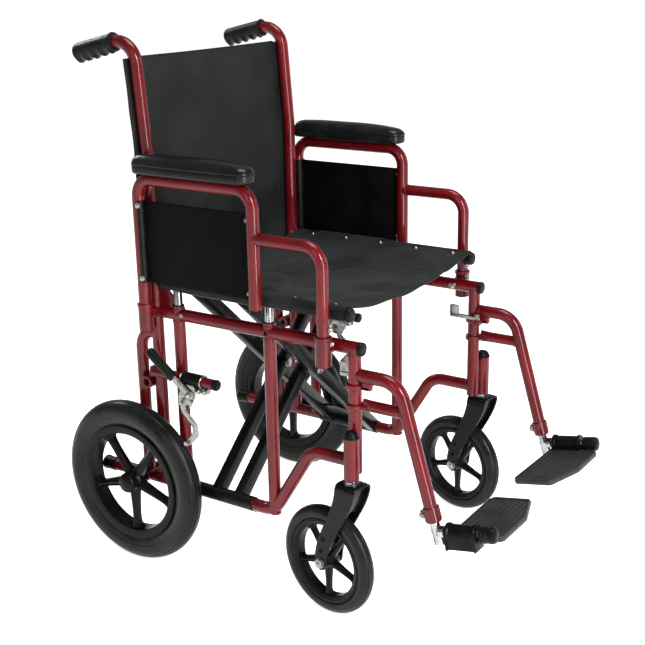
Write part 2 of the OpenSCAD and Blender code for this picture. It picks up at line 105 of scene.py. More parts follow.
stub_z = lever.z + 22
stub_front = front_y + 276
grip_slope = radians(13)
housing_r, housing_low, housing_top = 13, 262, 338
socket_r = 13.4
spokes, spoke_lead = 5, radians(36)
raised_z = low_z + 133
hoop_z = 440
strut_z = 388
post_foot_z = rail_z - 23
back_screws_z = (600, 740, 870)
knob_way = Vector((-0.35, -1, 0)).normalized()


def add_object(name, data):
    """New object of the scene."""
    new = bpy.data.objects.new(name, data)
    scene.collection.objects.link(new)
    return new


def smooth(mesh, sharp=None):
    """Smooth shading, with edges above that many degrees left sharp."""
    for face in mesh.polygons:
        face.use_smooth = True
    if sharp is not None:
        mesh.set_sharp_from_angle(angle=radians(sharp))


def share(value):
    """The value, kept within 0 and 1."""
    return min(1.0, max(0.0, value))


def spread(low, high, count):
    """count + 1 evenly spaced places from low to high."""
    return [low + (high - low) * k / count for k in range(count + 1)]


# ---------- Materials ----------


class Wiring:
    """Nodes of one material or world, and the links between them."""

    def __init__(self, tree):
        self.nodes, self.links = tree.nodes, tree.links

    def add(self, kind, out, inputs, **settings):
        """New node. inputs gives each input a value or another node's socket."""
        node = self.nodes.new("ShaderNode" + kind)
        for name, value in settings.items():
            setattr(node, name, value)
        self.set(node, inputs)
        return node.outputs[out]

    def set(self, node, inputs):
        for name, value in inputs.items():
            if isinstance(value, bpy.types.NodeSocket):
                self.links.new(value, node.inputs[name])
            else:
                node.inputs[name].default_value = value

    def noise(self, place, scale, detail=3.0):
        """Factor socket of a noise at that scale, per metre."""
        return self.add("TexNoise", "Fac", {"Scale": scale, "Detail": detail,
                                            "Roughness": 0.55, "Vector": place})

    def ramp(self, factor, low, high, start=0.35, stop=0.65):
        """Value socket that maps a factor to low..high."""
        return self.add("MapRange", "Result", {
            "From Min": start, "From Max": stop, "To Min": low, "To Max": high,
            "Value": factor})


SLOT_OF, NODE_MATERIAL = {}, {}


def surface(name, slot, dark, light, rough, metallic=0.0, gloss=0.5, coat=0.0, sheen=0.0,
            mottle=30, grain=900, bump=0.1, bump_mm=0.1, weave=0):
    """Material whose colour goes from dark to light and whose roughness goes over rough's two
    values with a noise of scale mottle. gloss is how strongly it mirrors, grain the scale of
    the fine bump, and weave the threads per metre of a cloth. The CAD nodes of a slot get the
    first material made for it."""
    material = bpy.data.materials.new(name)
    SLOT_OF[name] = slot
    NODE_MATERIAL.setdefault(slot, material)
    material.use_nodes = True
    wiring = Wiring(material.node_tree)
    place = wiring.add("TexCoord", "Object", {})
    broad = wiring.noise(place, mottle)
    fine = wiring.noise(place, grain, 2.0)
    tone = wiring.ramp(broad, 0.0, 1.0)
    height = fine
    if weave:
        threads = [wiring.add("TexWave", "Fac", {
            "Scale": weave, "Distortion": 0.6, "Detail": 1.0, "Vector": place},
            bands_direction=direction) for direction in "XZ"]
        cross = wiring.add("Math", 0, dict(enumerate(threads)), operation="MULTIPLY")
        height = wiring.add("Math", 0, {0: cross, 1: 0.6, 2: fine}, operation="MULTIPLY_ADD")
        shade = wiring.ramp(broad, -0.25, 0.15)
        tone = wiring.add("Math", 0, {0: height, 1: 0.7, 2: shade}, operation="MULTIPLY_ADD")
    colour = wiring.add("Mix", "Result", {}, data_type="RGBA")
    mix = colour.node
    wiring.set(mix, {"A": (*dark, 1), "B": (*light, 1), "Factor": tone})
    relief = wiring.add("Bump", "Normal", {
        "Strength": bump, "Distance": bump_mm * MM, "Height": height})
    wiring.set(wiring.nodes["Principled BSDF"], {
        "Metallic": metallic, "Specular IOR Level": gloss, "Coat Weight": coat,
        "Coat Roughness": 0.06, "Sheen Weight": sheen, "Sheen Roughness": 0.4,
        "Base Color": colour, "Roughness": wiring.ramp(broad, *rough), "Normal": relief})
    return material


red = surface("candy_red_paint", "red_paint", (0.075, 0.0015, 0.003), (0.12, 0.003, 0.006),
              (0.3, 0.4), metallic=0.15, gloss=0.08, coat=0.48, mottle=14, grain=2600, bump=0.04)
black = surface("gloss_black_paint", "black_paint", (0.002, 0.002, 0.002), (0.004, 0.004, 0.004),
                (0.26, 0.36), gloss=0.08, coat=0.12, mottle=22, grain=500, bump=0.05)
chrome = surface("chrome_plate", "chrome", (0.30, 0.305, 0.31), (0.45, 0.455, 0.46), (0.08, 0.2),
                 metallic=1.0, mottle=40, grain=1500, bump=0.02)
zinc = surface("zinc_plate", "steel", (0.20, 0.20, 0.19), (0.36, 0.36, 0.345), (0.22, 0.36),
               metallic=1.0, mottle=90, grain=1800, bump=0.08)
plastic = surface("moulded_black_plastic", "black_plastic", (0.002, 0.0022, 0.002),
                  (0.004, 0.0044, 0.004), (0.25, 0.38), gloss=0.1, mottle=35, grain=2200,
                  bump=0.15)
ribbed = surface("footplate_plastic", "black_plastic", (0.012, 0.013, 0.0125),
                 (0.022, 0.023, 0.022), (0.42, 0.55), gloss=0.3, mottle=28, grain=1700, bump=0.3)
panel_black = surface("guard_panel_plastic", "black_plastic", (0.0015, 0.0016, 0.0015),
                      (0.003, 0.0032, 0.003), (0.45, 0.6), gloss=0.04, mottle=18, grain=1900,
                      bump=0.2)
urethane = surface("arm_pad_skin", "pad", (0.004, 0.0043, 0.0044), (0.008, 0.0085, 0.0087),
                   (0.18, 0.28), gloss=0.2, mottle=26, grain=1300, bump=0.2)
vinyl = surface("grip_vinyl", "grip", (0.003, 0.004, 0.0033), (0.007, 0.0085, 0.0073),
                (0.3, 0.44), gloss=0.11, mottle=60, grain=1600, bump=0.2)
rubber = surface("tyre_rubber", "tyre", (0.005, 0.0058, 0.0049), (0.011, 0.0122, 0.0104),
                 (0.24, 0.36), gloss=0.14, mottle=24, grain=1500, bump=0.12)
nylon = surface("nylon_cloth", "fabric", (0.002, 0.0023, 0.0022), (0.019, 0.0208, 0.0204),
                (0.5, 0.72), gloss=0.12, sheen=0.05, mottle=9, grain=420, bump=0.5, bump_mm=0.5,
                weave=130)
binding = surface("cloth_binding", "fabric", (0.004, 0.004, 0.0042), (0.016, 0.0165, 0.0165),
                  (0.6, 0.75), gloss=0.1, sheen=0.05, mottle=60, grain=1400, bump=0.4,
                  bump_mm=0.2, weave=260)
thread = surface("sewing_thread", "fabric", (0.012, 0.012, 0.0125), (0.024, 0.024, 0.024),
                 (0.5, 0.6), gloss=0.2, mottle=300, grain=3000, bump=0.2)


def dress_cad_nodes():
    """Gives every CAD node its material, smooth shading and a small bevel on its edges."""
    slots = {s["node"]: s["material_slot"] for s in frame["record"]["subparts"]}
    for name, node in frame["nodes"].items():
        node.data.materials.clear()
        node.data.materials.append(NODE_MATERIAL[slots[name]])
        smooth(node.data)
        weld = node.modifiers.new("weld", "WELD")
        weld.merge_threshold = 0.00001
        bevel = node.modifiers.new("bevel", "BEVEL")
        bevel.width = 0.6 * MM
        bevel.segments = 2
        bevel.limit_method = "ANGLE"
        bevel.angle_limit = radians(50)
        bevel.harden_normals = True


# ---------- Shapes ----------


def unit(a, b):
    return (b - a).normalized()


def at(x, y, z):
    return Vector((x, y, z))


def angles(count):
    """Angles of that many points, evenly round a circle."""
    return [2 * pi * k / count for k in range(count)]


def across_of(axis):
    """Two directions square to an axis and to each other."""
    across = axis.orthogonal().normalized()
    return across, axis.cross(across)


def route(corners, x, steps=10):
    """Points of a bent line in the plane of constant x, through (y, z) or (y, z, bend radius)."""
    points = [at(x, *c[:2]) for c in corners]
    line = [points[0]]
    for i in range(1, len(points) - 1):
        before, after = unit(points[i], points[i - 1]), unit(points[i], points[i + 1])
        half = before.angle(after) / 2
        reach = corners[i][2] / tan(half)
        centre = points[i] + (before + after).normalized() * corners[i][2] / sin(half)
        a, b = points[i] + before * reach - centre, points[i] + after * reach - centre
        line += [centre + a.normalized().slerp(b.normalized(), k / steps) * corners[i][2]
                 for k in range(steps + 1)]
    return line + [points[-1]]


class Shape:
    """Faces gathered for one piece. key is its side, and what is added to the right is
    mirrored, unless side says otherwise."""

    def __init__(self, key="l", side=0):
        self.key, self.side = key, side or SIDES[key]
        self.points, self.faces, self.slots = [], [], []

    def add(self, points, faces, slot=0):
        """Adds a mesh. slot is the index of its material."""
        first = len(self.points)
        for p in points:
            self.points.append((p[0] * self.side, p[1], p[2]))
        for f in faces:
            turned = f if self.side > 0 else f[::-1]
            self.faces.append([first + i for i in turned])
            self.slots.append(slot)

    def rings(self, rings, slot=0, closed=False):
        """Skin over rings with equal numbers of points, with flat ends unless it is closed."""
        count = len(rings[0])
        points = [p for ring in rings for p in ring]
        faces = []
        for i in range(len(rings) if closed else len(rings) - 1):
            a, b = i * count, (i + 1) % len(rings) * count
            for k in range(count):
                m = (k + 1) % count
                faces.append([a + k, a + m, b + m, b + k])
        if not closed:
            last = (len(rings) - 1) * count
            faces.append(list(range(count))[::-1])
            faces.append([last + k for k in range(count)])
        self.add(points, faces, slot)

    def sweep(self, line, radius, slot=0, sides=28, up=X, edge=0.8):
        """Bar along a line of points. radius is a number, or a function of the share along it
        that gives its two half widths, along up and across it. Its end edges are eased."""
        line = [Vector(p) for p in line]
        size = radius if callable(radius) else lambda along: (radius, radius)
        total = sum((b - a).length for a, b in zip(line, line[1:]))
        ease = min(edge, total / 4)
        ahead, back = unit(line[0], line[1]), unit(line[-1], line[-2])
        line = [line[0], line[0] + ahead * ease, *line[1:-1], line[-1] + back * ease, line[-1]]
        rings, gone = [], 0.0
        for i, p in enumerate(line):
            if i:
                gone += (p - line[i - 1]).length
            along = unit(line[max(i - 1, 0)], line[min(i + 1, len(line) - 1)])
            second = along.cross(up).normalized()
            first = second.cross(along)
            a, b = size(gone / total)
            if i in (0, len(line) - 1):
                a, b = a - ease, b - ease
            rings.append([
                p + first * a * cos(t) + second * b * sin(t)
                for t in angles(sides)
            ])
        self.rings(rings, slot)

    def lathe(self, profile, centre, axis, slot=0, sides=40):
        """Turned shape. profile is (radius, place along the axis) points, in order along it."""
        axis = Vector(axis).normalized()
        across = axis.orthogonal().normalized()
        if abs(axis.x) > 0.9:
            across = Z
        other = axis.cross(across)
        rings = []
        for r, along in profile:
            rings.append([
                Vector(centre) + axis * along
                + (across * cos(t) + other * sin(t)) * max(r, 0.01)
                for t in angles(sides)
            ])
        self.rings(rings, slot)

    def ring(self, profile, centre, axis, slot=0, sides=64):
        """Turned ring. profile is a closed outline of (radius, place along the axis) points."""
        axis = Vector(axis).normalized()
        across = Z if abs(axis.z) < 0.9 else X
        across = (across - axis * across.dot(axis)).normalized()
        other = axis.cross(across)
        rings = []
        for t in angles(sides):
            out = across * cos(t) + other * sin(t)
            rings.append([Vector(centre) + axis * along + out * r for r, along in profile])
        self.rings(rings, slot, closed=True)

    def pipe(self, centre, axis, length, outer, inner, slot=0, edge=0.8):
        """Tube with eased ends, from centre along axis."""
        e = edge
        self.ring(
            [(inner, e), (inner + e, 0), (outer - e, 0), (outer, e), (outer, length - e),
             (outer - e, length), (inner + e, length), (inner, length - e)],
            centre, axis, slot, 40)

    def rod(self, centre, axis, length, radius, slot=0, edge=0.8, sides=32):
        """Round bar with eased ends, from centre along axis."""
        self.lathe(
            [(radius - edge, 0), (radius, edge), (radius, length - edge), (radius - edge, length)],
            centre, axis, slot, sides)

    def bolt(self, centre, axis, radius, kind="hex", slot=1, height=0.0):
        """Bolt head with its washer, standing on centre along axis."""
        high = height or radius * 0.75
        washer = radius * 1.35
        self.lathe([(washer - 0.3, 0), (washer, 0.3), (washer, 0.9), (washer - 0.3, 1.2)],
                   centre, axis, slot, 28)
        top = Vector(centre) + Vector(axis).normalized() * 1.1
        if kind == "hex":
            self.lathe([(radius, 0), (radius, high * 0.8), (radius * 0.86, high),
                        (radius * 0.3, high)], top, axis, slot, 6)
        elif kind == "nut":
            self.lathe([(radius, 0), (radius, high * 0.6), (radius * 0.8, high * 0.7),
                        (radius * 0.72, high), (radius * 0.5, high * 1.3),
                        (radius * 0.1, high * 1.45)], top, axis, slot, 24)
        else:
            self.lathe([(radius, 0), (radius * 0.97, high * 0.35), (radius * 0.72, high * 0.75),
                        (radius * 0.35, high * 0.86), (radius * 0.3, high * 0.5)],
                       top, axis, slot, 24)

    def bead(self, centre, axis, radius, width=1.5, slot=0):
        """Weld bead round a tube."""
        axis = Vector(axis).normalized()
        across, other = across_of(axis)
        rings = []
        for t in angles(72):
            out = across * cos(t) + other * sin(t)
            size = width * (1 + 0.16 * cos(24 * t))
            rings.append([
                Vector(centre) + out * (radius + size * cos(a) * 0.8)
                + axis * size * sin(a)
                for a in angles(8)
            ])
        self.rings(rings, slot, closed=True)

    def plate(self, loops, origin, u, v, thick, slot=0, edge=0.6):
        """Flat plate drawn in the plane of u and v, with its holes, from origin towards
        u cross v. Each loop is a list of (along u, along v) points."""
        curve = bpy.data.curves.new("outline", "CURVE")
        curve.dimensions = "2D"
        curve.fill_mode = "BOTH"
        curve.extrude = thick / 2 - edge
        curve.bevel_depth = edge
        curve.bevel_resolution = 1
        curve.offset = -edge
        for loop in loops:
            spline = curve.splines.new("POLY")
            spline.points.add(len(loop) - 1)
            for point, (a, b) in zip(spline.points, loop):
                point.co = (a, b, 0, 1)
            spline.use_cyclic_u = True
        holder = add_object("outline", curve)
        bpy.context.view_layer.update()
        mesh = bpy.data.meshes.new_from_object(holder)
        u, v = Vector(u), Vector(v)
        out = u.cross(v).normalized()
        points = [Vector(origin) + u * p.co.x + v * p.co.y + out * (p.co.z + thick / 2)
                  for p in mesh.vertices]
        self.add(points, [list(f.vertices) for f in mesh.polygons], slot)
        bpy.data.objects.remove(holder)
        bpy.data.curves.remove(curve)
        bpy.data.meshes.remove(mesh)

    def block(self, low, high, slot=0, edge=1.0, turn=None):
        """Box between two corners with eased edges. turn moves its points."""
        low, high = Vector(low), Vector(high)
        mesh = bmesh.new()
        bmesh.ops.create_cube(mesh, size=1)
        for p in mesh.verts:
            p.co = Vector(
                (low[i] + high[i]) / 2 + p.co[i] * (high[i] - low[i]) for i in range(3))
        bmesh.ops.bevel(mesh, geom=mesh.edges[:], offset=edge, segments=2, affect="EDGES",
                        profile=0.5)
        mesh.verts.index_update()
        points = [turn @ p.co if turn else p.co.copy() for p in mesh.verts]
        self.add(points, [[p.index for p in f.verts] for f in mesh.faces], slot)
        mesh.free()

    def build(self, name, materials, body, replaces=(), sharp=32):
        """The piece, riding on a body and standing for CAD nodes."""
        mesh = bpy.data.meshes.new(name)
        mesh.from_pydata([Vector(p) * MM for p in self.points], [], self.faces)
        for material in materials:
            mesh.materials.append(material)
        mesh.polygons.foreach_set("material_index", self.slots)
        work = bmesh.new()
        work.from_mesh(mesh)
        bmesh.ops.remove_doubles(work, verts=work.verts[:], dist=0.000002)
        bmesh.ops.recalc_face_normals(work, faces=work.faces[:])
        work.to_mesh(mesh)
        work.free()
        smooth(mesh, sharp)
        piece = add_object(name, mesh)
        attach(piece, body)
        if replaces:
            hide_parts(*replaces)
        return piece

    def build_side(self, name, materials, body, node=None, sharp=32):
        """The piece of one side, whose key ends every name."""
        end = "_" + self.key
        return self.build(name + end, materials, body + end, [node + end] if node else (), sharp)


def rounded(corners, radius, steps=6):
    """Closed outline with its corners rounded. radius is a number or one for each corner."""
    count = len(corners)
    radii = radius if isinstance(radius, (list, tuple)) else [radius] * count
    points = [Vector(c) for c in corners]
    line = []
    for i, p in enumerate(points):
        before, after = unit(p, points[i - 1]), unit(p, points[(i + 1) % count])
        half = before.angle(after) / 2
        reach = radii[i] / tan(half)
        a, b = p + before * reach, p + after * reach
        for k in range(steps + 1):
            t = k / steps
            line.append(tuple(a.lerp(p, t).lerp(p.lerp(b, t), t)))
    return line


# ---------- Side frames ----------

lean_z = handle_z - 192
cane_top_y = cane_y + 15
grip_start_y = front_y + 480
grip_end_y = front_y + 570
tip_y = front_y + 550
rail_front = front_y - 12
low_route = [(tip_y, low_z), (guides[0] + 1, low_z, 42), (front_y + 89, raised_z, 42),
             (front_y, raised_z)]


def handle_point(y):
    """Point of the push handle's centre line at y."""
    return at(side_x, y, handle_z - (y - cane_top_y) * tan(grip_slope))


def cane(key):
    shape = Shape(key)
    end = handle_point(grip_end_y - 6)
    line = route([(cane_y, low_z), (cane_y, lean_z, 260), (cane_top_y, handle_z, 40),
                  (end.y, end.z)], side_x, 14)
    shape.sweep(line, tube_r)
    shape.build_side("back_cane_tube", [red], "frame", "back_cane")


def side_rail(key):
    """Side rail with its guide tubes, gusset, arm sockets and the hole boss on the front guide."""
    shape = Shape(key)
    rail = [(side_x, rail_front, rail_z), (side_x, cane_y, rail_z)]
    shape.sweep(rail, tube_r)
    for y in guides:
        foot = low_z - (tube_r - 6 if y == guides[0] else 0)
        shape.pipe((side_x, y, foot), Z, rail_z + tube_r + 6 - foot, tube_r - 0.4, 8.4)
        for z in (rail_z - tube_r, rail_z + tube_r):
            shape.bead((side_x, y, z), Z, tube_r - 0.5)
        shape.bead((side_x, y, low_z + tube_r), Z, tube_r - 0.6)
    boss = at(side_x + tube_r - 3, guides[0], rail_z)
    shape.pipe(boss, X, 4.6, 6.4, 3.6, 0, 0.7)
    # The matte black rod fills the boss's bore just below its rim: painted shade of the hole, standing in for its
    # dark inside.
    shape.rod(boss, X, 3.4, 3.7, 2, 0.2)
    shape.bolt((side_x + tube_r - 0.5, guides[1] - 14, rail_z + 2), X, 3.0, "dome")
    gusset = [(cane_y - 60, rail_z + 5), (cane_y, rail_z + 5), (cane_y, rail_z + 68),
              (cane_y - 9, rail_z + 68), (cane_y - 60, rail_z + 12)]
    shape.plate([gusset], (side_x - 2, 0, 0), Y, Z, 4)
    for y in (arm_front_y, cane_y):
        shape.pipe((arm_x, y, rail_z - 30), Z, 51, socket_r, tube_r + 0.5, 0, 1.2)
        shape.pipe((arm_x, y, rail_z + 15), Z, 6, socket_r + 1.2, tube_r + 0.5, 0, 1.0)
        shape.block((side_x + tube_r - 3, y - 9, rail_z - 9), (arm_x - 10, y + 9, rail_z + 9), 0, 2)
    shape.bead((side_x, cane_y - tube_r, rail_z), Y, tube_r - 0.5)
    place = at(arm_x, arm_front_y, rail_z + 9) + knob_way * 12.6
    shape.bolt(place, knob_way, 4.6, "nut")
    shape.bolt((side_x - tube_r, arm_front_y, rail_z), -X, 4.6)
    shape.build_side("side_rail_tube", [red, zinc, panel_black], "frame", "upper_frame")


def lower_rail(key):
    shape = Shape(key)
    shape.sweep(route(low_route, side_x, 14), tube_r)
    shape.bead((side_x, front_y + tube_r, raised_z), Y, tube_r - 0.5)
    screw_y = front_y + 208
    out = Vector((1, -0.1, -0.5)).normalized()
    shape.bolt(at(side_x, screw_y, low_z) + out * (tube_r - 0.3), out, 3.6, "dome")
    shape.build_side("lower_rail_tube", [red, zinc], "frame", "lower_rail")


def front_upright(key):
    """Front upright with the caster housing welded beside it."""
    shape = Shape(key)
    shape.sweep([(side_x, front_y, 264), (side_x, front_y, rail_z)], tube_r)
    shape.bead((side_x, front_y, rail_z - tube_r), Z, tube_r - 0.4)
    shape.pipe((stem.x, stem.y, housing_low), Z, housing_top - housing_low, housing_r, 6.3, 0, 1.2)
    shape.block((side_x + 5, front_y - 9, 270), (stem.x - 9, front_y + 1, 332), 0, 2)
    shape.lathe([(11.5, 0), (12.5, 0.8), (12.5, 2.6), (11.5, 3.4)], (stem.x, stem.y, 258.6), Z, 1)
    shape.build_side("front_upright_tube", [red, chrome], "frame", "front_upright")


def rear_hoop(key):
    """Hoop that carries the rear axle, the spare axle boss and the wheel lock's stub tube."""
    shape = Shape(key)
    hoop = [(axle.y, low_z), (axle.y, hoop_z, 34), (cane_y, hoop_z)]
    shape.sweep(route(hoop, side_x, 12), tube_r - 0.4)
    shape.rod((side_x - 18, axle.y, axle.z), X, 38, 14, 0, 1.5)
    shape.pipe((side_x - 14, spare_y, spare_z), X, 32, 12, 6.4, 0, 1.2)
    shape.bead((side_x, axle.y, low_z + tube_r + 1), Z, tube_r - 0.8)
    shape.bead((side_x, cane_y + tube_r - 1, hoop_z), Y, tube_r - 0.8)
    shape.pipe((stub_x, stub_front, stub_z), Y, cane_y - stub_front, stub_r, 7.4)
    shape.block((side_x + 6, cane_y - 8, stub_z - 8), (stub_x, cane_y + 8, stub_z + 8), 0, 2.5)
    shape.build_side("rear_hoop_tube", [red], "frame", "rear_hoop")


def plug(shape, centre, axis, radius, slot=0):
    """Push-in tube plug with a domed, ringed face."""
    r = radius
    shape.lathe([(r - 1.5, -3), (r, -3), (r + 0.4, -2.4), (r + 0.4, 3.6), (r - 0.3, 4.8),
                 (r * 0.72, 5.6), (r * 0.66, 5.0), (r * 0.5, 5.1), (r * 0.45, 5.7),
                 (0.5, 6.2)], centre, axis, slot, 32)


def end_caps(key):
    shape = Shape(key)
    plug(shape, (side_x, rail_front, rail_z), -Y, tube_r - 0.2)
    plug(shape, (stub_x, stub_front, stub_z), -Y, stub_r)
    r = tube_r + 1.6
    shape.lathe([(r - 1, 0), (r, 1), (r, 22), (r + 0.7, 23), (r + 0.7, 27), (r - 1.5, 29.4),
                 (r * 0.6, 30), (0.5, 30)], (side_x, tip_y - 1, low_z), Y, 0)
    rim = housing_r + 1
    dome = [(rim - 1.2, -1.5), (rim, -1), (rim + 0.2, 0.5), (rim - 0.4, 1.6), (rim - 1.2, 2.2)]
    dome += [((rim - 1.6) * cos(t), 2.4 + 9.5 * sin(t))
             for t in (radians(a) for a in range(10, 91, 16))]
    shape.lathe(dome, (stem.x, stem.y, housing_top), Z)
    for y in guides:
        shape.ring([(8.3, 0), (tube_r - 1, 0), (tube_r - 1, 1.6), (tube_r - 2, 2.4), (8.3, 2.4)],
                   (side_x, y, rail_z + tube_r + 5.2), Z, 0, 32)
    shape.build_side("tube_plugs", [plastic], "frame", "end_caps")


def handle_grip(key):
    """Vinyl grip with a lip, finger hollows between pointed ridges underneath, and an eased end."""
    shape = Shape(key)
    first, last = handle_point(grip_start_y), handle_point(grip_end_y)
    along = unit(first, last)
    down = along.cross(X)
    if down.z > 0:
        down = -down
    long = (last - first).length
    rings, steps, sides = [], 72, 36
    for i in range(steps + 1):
        s = long * i / steps
        body = 15.4 + 0.8 * s / long
        if s < 3.5:
            body = 16.9 if s > 0.6 else 16.2
        tail = max(0.0, s - (long - 5)) / 5
        body *= sqrt(max(0.0, 1 - 0.34 * tail ** 2.4))
        finger = 0.0
        if 9 < s < long - 4:
            wave = abs(sin(pi * (s - 9) / (long - 13) * 4))
            finger = 5.0 * (1 - wave) ** 0.9 - 1.2
        ring = []
        for t in angles(sides):
            under = max(0.0, sin(t)) ** 1.5
            flute = 0.18 * cos(18 * t) if 8 < s < long - 6 else 0
            r = body + finger * under + flute
            ring.append(first + along * s + (X * cos(t) + down * sin(t)) * r)
        rings.append(ring)
    shape.rings(rings)
    shape.build_side("vinyl_grip", [vinyl], "frame", "handle_grip", 40)


# ---------- Arms ----------


def arm_frame(key):
    shape = Shape(key)
    loop = [(cane_y, post_foot_z), (cane_y, arm_z, 32), (arm_mid_y, arm_z, 32), (arm_mid_y, 527)]
    step = [(arm_mid_y + 4, step_z), (arm_front_y, step_z, 34), (arm_front_y, post_foot_z)]
    shape.sweep(route(loop, arm_x, 12), tube_r)
    shape.sweep(route(step, arm_x, 12), 10.6)
    shape.bead((arm_x, arm_mid_y - tube_r + 0.6, step_z), Y, 10.2)
    shape.rod((arm_x, arm_mid_y, 519), Z, 9, tube_r - 0.6, 2, 2)
    place = at(arm_x, arm_front_y, 515) + knob_way * 10
    shape.bolt(place, knob_way, 4.6, "nut")
    shape.build_side("arm_tube", [red, zinc, plastic], "arm", "arm_frame")


def arm_pad(key):
    """Moulded pad: a rounded shell with a parting groove and a crowned top that drops forward."""
    low = ends("arm_pad_l", 2)[0]
    front, back = ends("arm_pad_l", 1)
    shape = Shape(key)
    rings = []
    middle, reach = (front + back) / 2, (back - front) / 2
    lip = 16.4
    heights = [(0.88, 0.0), (0.955, 1.4), (0.975, 4.0), (0.975, 13.4), (0.945, 14.2),
               (0.985, 14.8), (1.0, 15.4), (1.0, lip), (0.975, 18.4), (0.93, 21.6), (0.86, 25.2),
               (0.75, 28.6), (0.60, 31.2), (0.42, 32.8), (0.22, 33.6), (0.02, 33.8)]
    corner = 0.15
    for part, high in heights:
        ring = []
        for t in angles(96):
            c, s = cos(t), sin(t)
            a, b = pad_half * 0.98 * part, reach - pad_half * (1 - part)
            run = reach - pad_half
            x = copysign(abs(c) ** 0.9, c) * a
            y = copysign(run, s) * min(1, abs(s) * 2.4) + s * pad_half * part
            y = max(-b, min(b, y))
            z = high
            behind = max(0.0, (y / reach - 0.4) / 0.6)
            x *= 1 - 0.07 * behind ** 2
            if high > lip:
                ahead = max(0.0, (-y / reach - corner) / (1 - corner))
                z = lip + (high - lip) * (1 - 0.5 * ahead ** 2.2) * (1 - 0.2 * behind ** 2)
            ring.append((arm_x + x, middle + y, low + z - 0.2))
        rings.append(ring)
    shape.rings(rings)
    pad = shape.build_side("moulded_arm_pad", [urethane], "arm", "arm_pad", 42)


def skirt_guard(key):
    """Flat clothing guard, wrapped round the rear post and screwed at three corners."""
    low, high = ends("skirt_guard_l", 2)
    shape = Shape(key)
    face = [(arm_mid_y + 9, low), (cane_y - 4, low), (cane_y - 4, high), (arm_mid_y + 9, high)]
    shape.plate([rounded(face, 5)], (arm_x - 1.4, 0, 0), Y, Z, 2.8, 0, 0.5)
    for z in (low + 9, high - 12):
        for y in (arm_mid_y + 12, cane_y - 17):
            shape.ring([(3.2, 0), (4.8, 0), (4.8, 0.5), (4.2, 0.9), (3.2, 0.9)],
                       (arm_x + 1.3, y, z), X, 0, 20)
    outer = tube_r + 2.3
    wrap = [(outer, a) for a in range(-204, -27, 11)]
    rings = []
    for z in (low, low + 0.8, high - 0.8, high):
        ease = 0.6 if z in (low, high) else 0
        ring = [(arm_x + (r - ease) * cos(radians(a)),
                 cane_y + (r - ease) * sin(radians(a)), z) for r, a in wrap]
        ring += [(arm_x + (tube_r + 0.35) * cos(radians(a)),
                  cane_y + (tube_r + 0.35) * sin(radians(a)), z) for r, a in wrap[::-1]]
        rings.append(ring)
    shape.rings(rings, 2)
    out = Vector((cos(radians(-34)), sin(radians(-34)), 0))
    for z in (low + 8, high - 8):
        shape.bolt(at(arm_x, cane_y, z) + out * (outer - 0.4), out, 3.4, "dome")
    for z in (low + 10, high - 12):
        shape.bolt((arm_x + 1.3, arm_mid_y + 12, z), X, 2.9, "dome")
        shape.bolt((arm_x - 1.3, arm_mid_y + 12, z), -X, 2.9, "dome")
    shape.build_side("clothing_guard", [panel_black, zinc, plastic], "arm", "skirt_guard")


# ---------- Footrests ----------

hanger_low = at(side_x, front_y - 148, 215)
hanger_bend = at(side_x, front_y - 83, 437)
post_way = unit(hanger_bend, hanger_low)
toe_up = radians(10.8)


def hanger(key):
    """Swing-away hanger with its flattened strut, hinge rings, rear plug and post clamp."""
    shape = Shape(key)
    path = [(front_y - 13, hanger_bend.z), (hanger_bend.y, hanger_bend.z, 42),
            (hanger_low.y, hanger_low.z)]
    shape.sweep(route(path, side_x, 14), tube_r)

    def pinched(along):
        """Half widths of the strut, flat where it meets the upright's rings."""
        flat = max(0.0, 1 - along / 0.26)
        flat = flat * flat * (3 - 2 * flat)
        return 9.6 - 6.2 * flat, 9.6 + 1.5 * flat

    strut = [at(side_x, front_y - 16 - 2 * k, strut_z) for k in range(14)]
    strut += [at(side_x, front_y - 44 - 9 * k, strut_z) for k in range(7)]
    shape.sweep(strut, pinched, 0, 28, X)
    shape.bead((side_x, front_y - 87.5, strut_z), Y, 9.4)
    for z in (378, 413):
        shape.pipe((side_x, front_y, z), Z, 9.5, tube_r + 4.3, tube_r + 0.35, 0, 1.4)
        shape.block((side_x - 5, front_y - 30, z + 1), (side_x + 5, front_y - 13, z + 8), 0, 1.5)
    shape.block((side_x - 5, front_y - 32, 414), (side_x + 5, front_y - 14, 431), 0, 2)
    shape.block((side_x - 25, front_y - 22, 413), (side_x, front_y - 12, 423), 0, 1.5)
    plug(shape, (side_x, front_y - 13, hanger_bend.z), Y, tube_r - 0.3)
    top = hanger_low - post_way * 24
    shape.pipe(top, post_way, 24, 14, 8.4, 0, 1.4)
    shape.pipe(top + post_way * 22.5, post_way, 3, 13, 8.4, 0, 0.6)
    ahead = Vector((0, post_way.z, -post_way.y))
    ahead = ahead if ahead.y > 0 else -ahead
    ear = top + post_way * 12 + ahead * 13
    for gap in (-5, 2):
        shape.block(ear + Vector((gap, -7, -7)), ear + Vector((gap + 3.4, 7, 7)), 0, 1.3)
    shape.bolt(ear + ahead * 2 + Vector((5.4, 0, 0)), X, 4.4, "nut", height=5)
    shape.bolt(ear + ahead * 2 + Vector((-5, 0, 0)), -X, 4.4)
    shape.build_side("hanger_tube", [red, zinc], "hanger", "footrest_hanger")


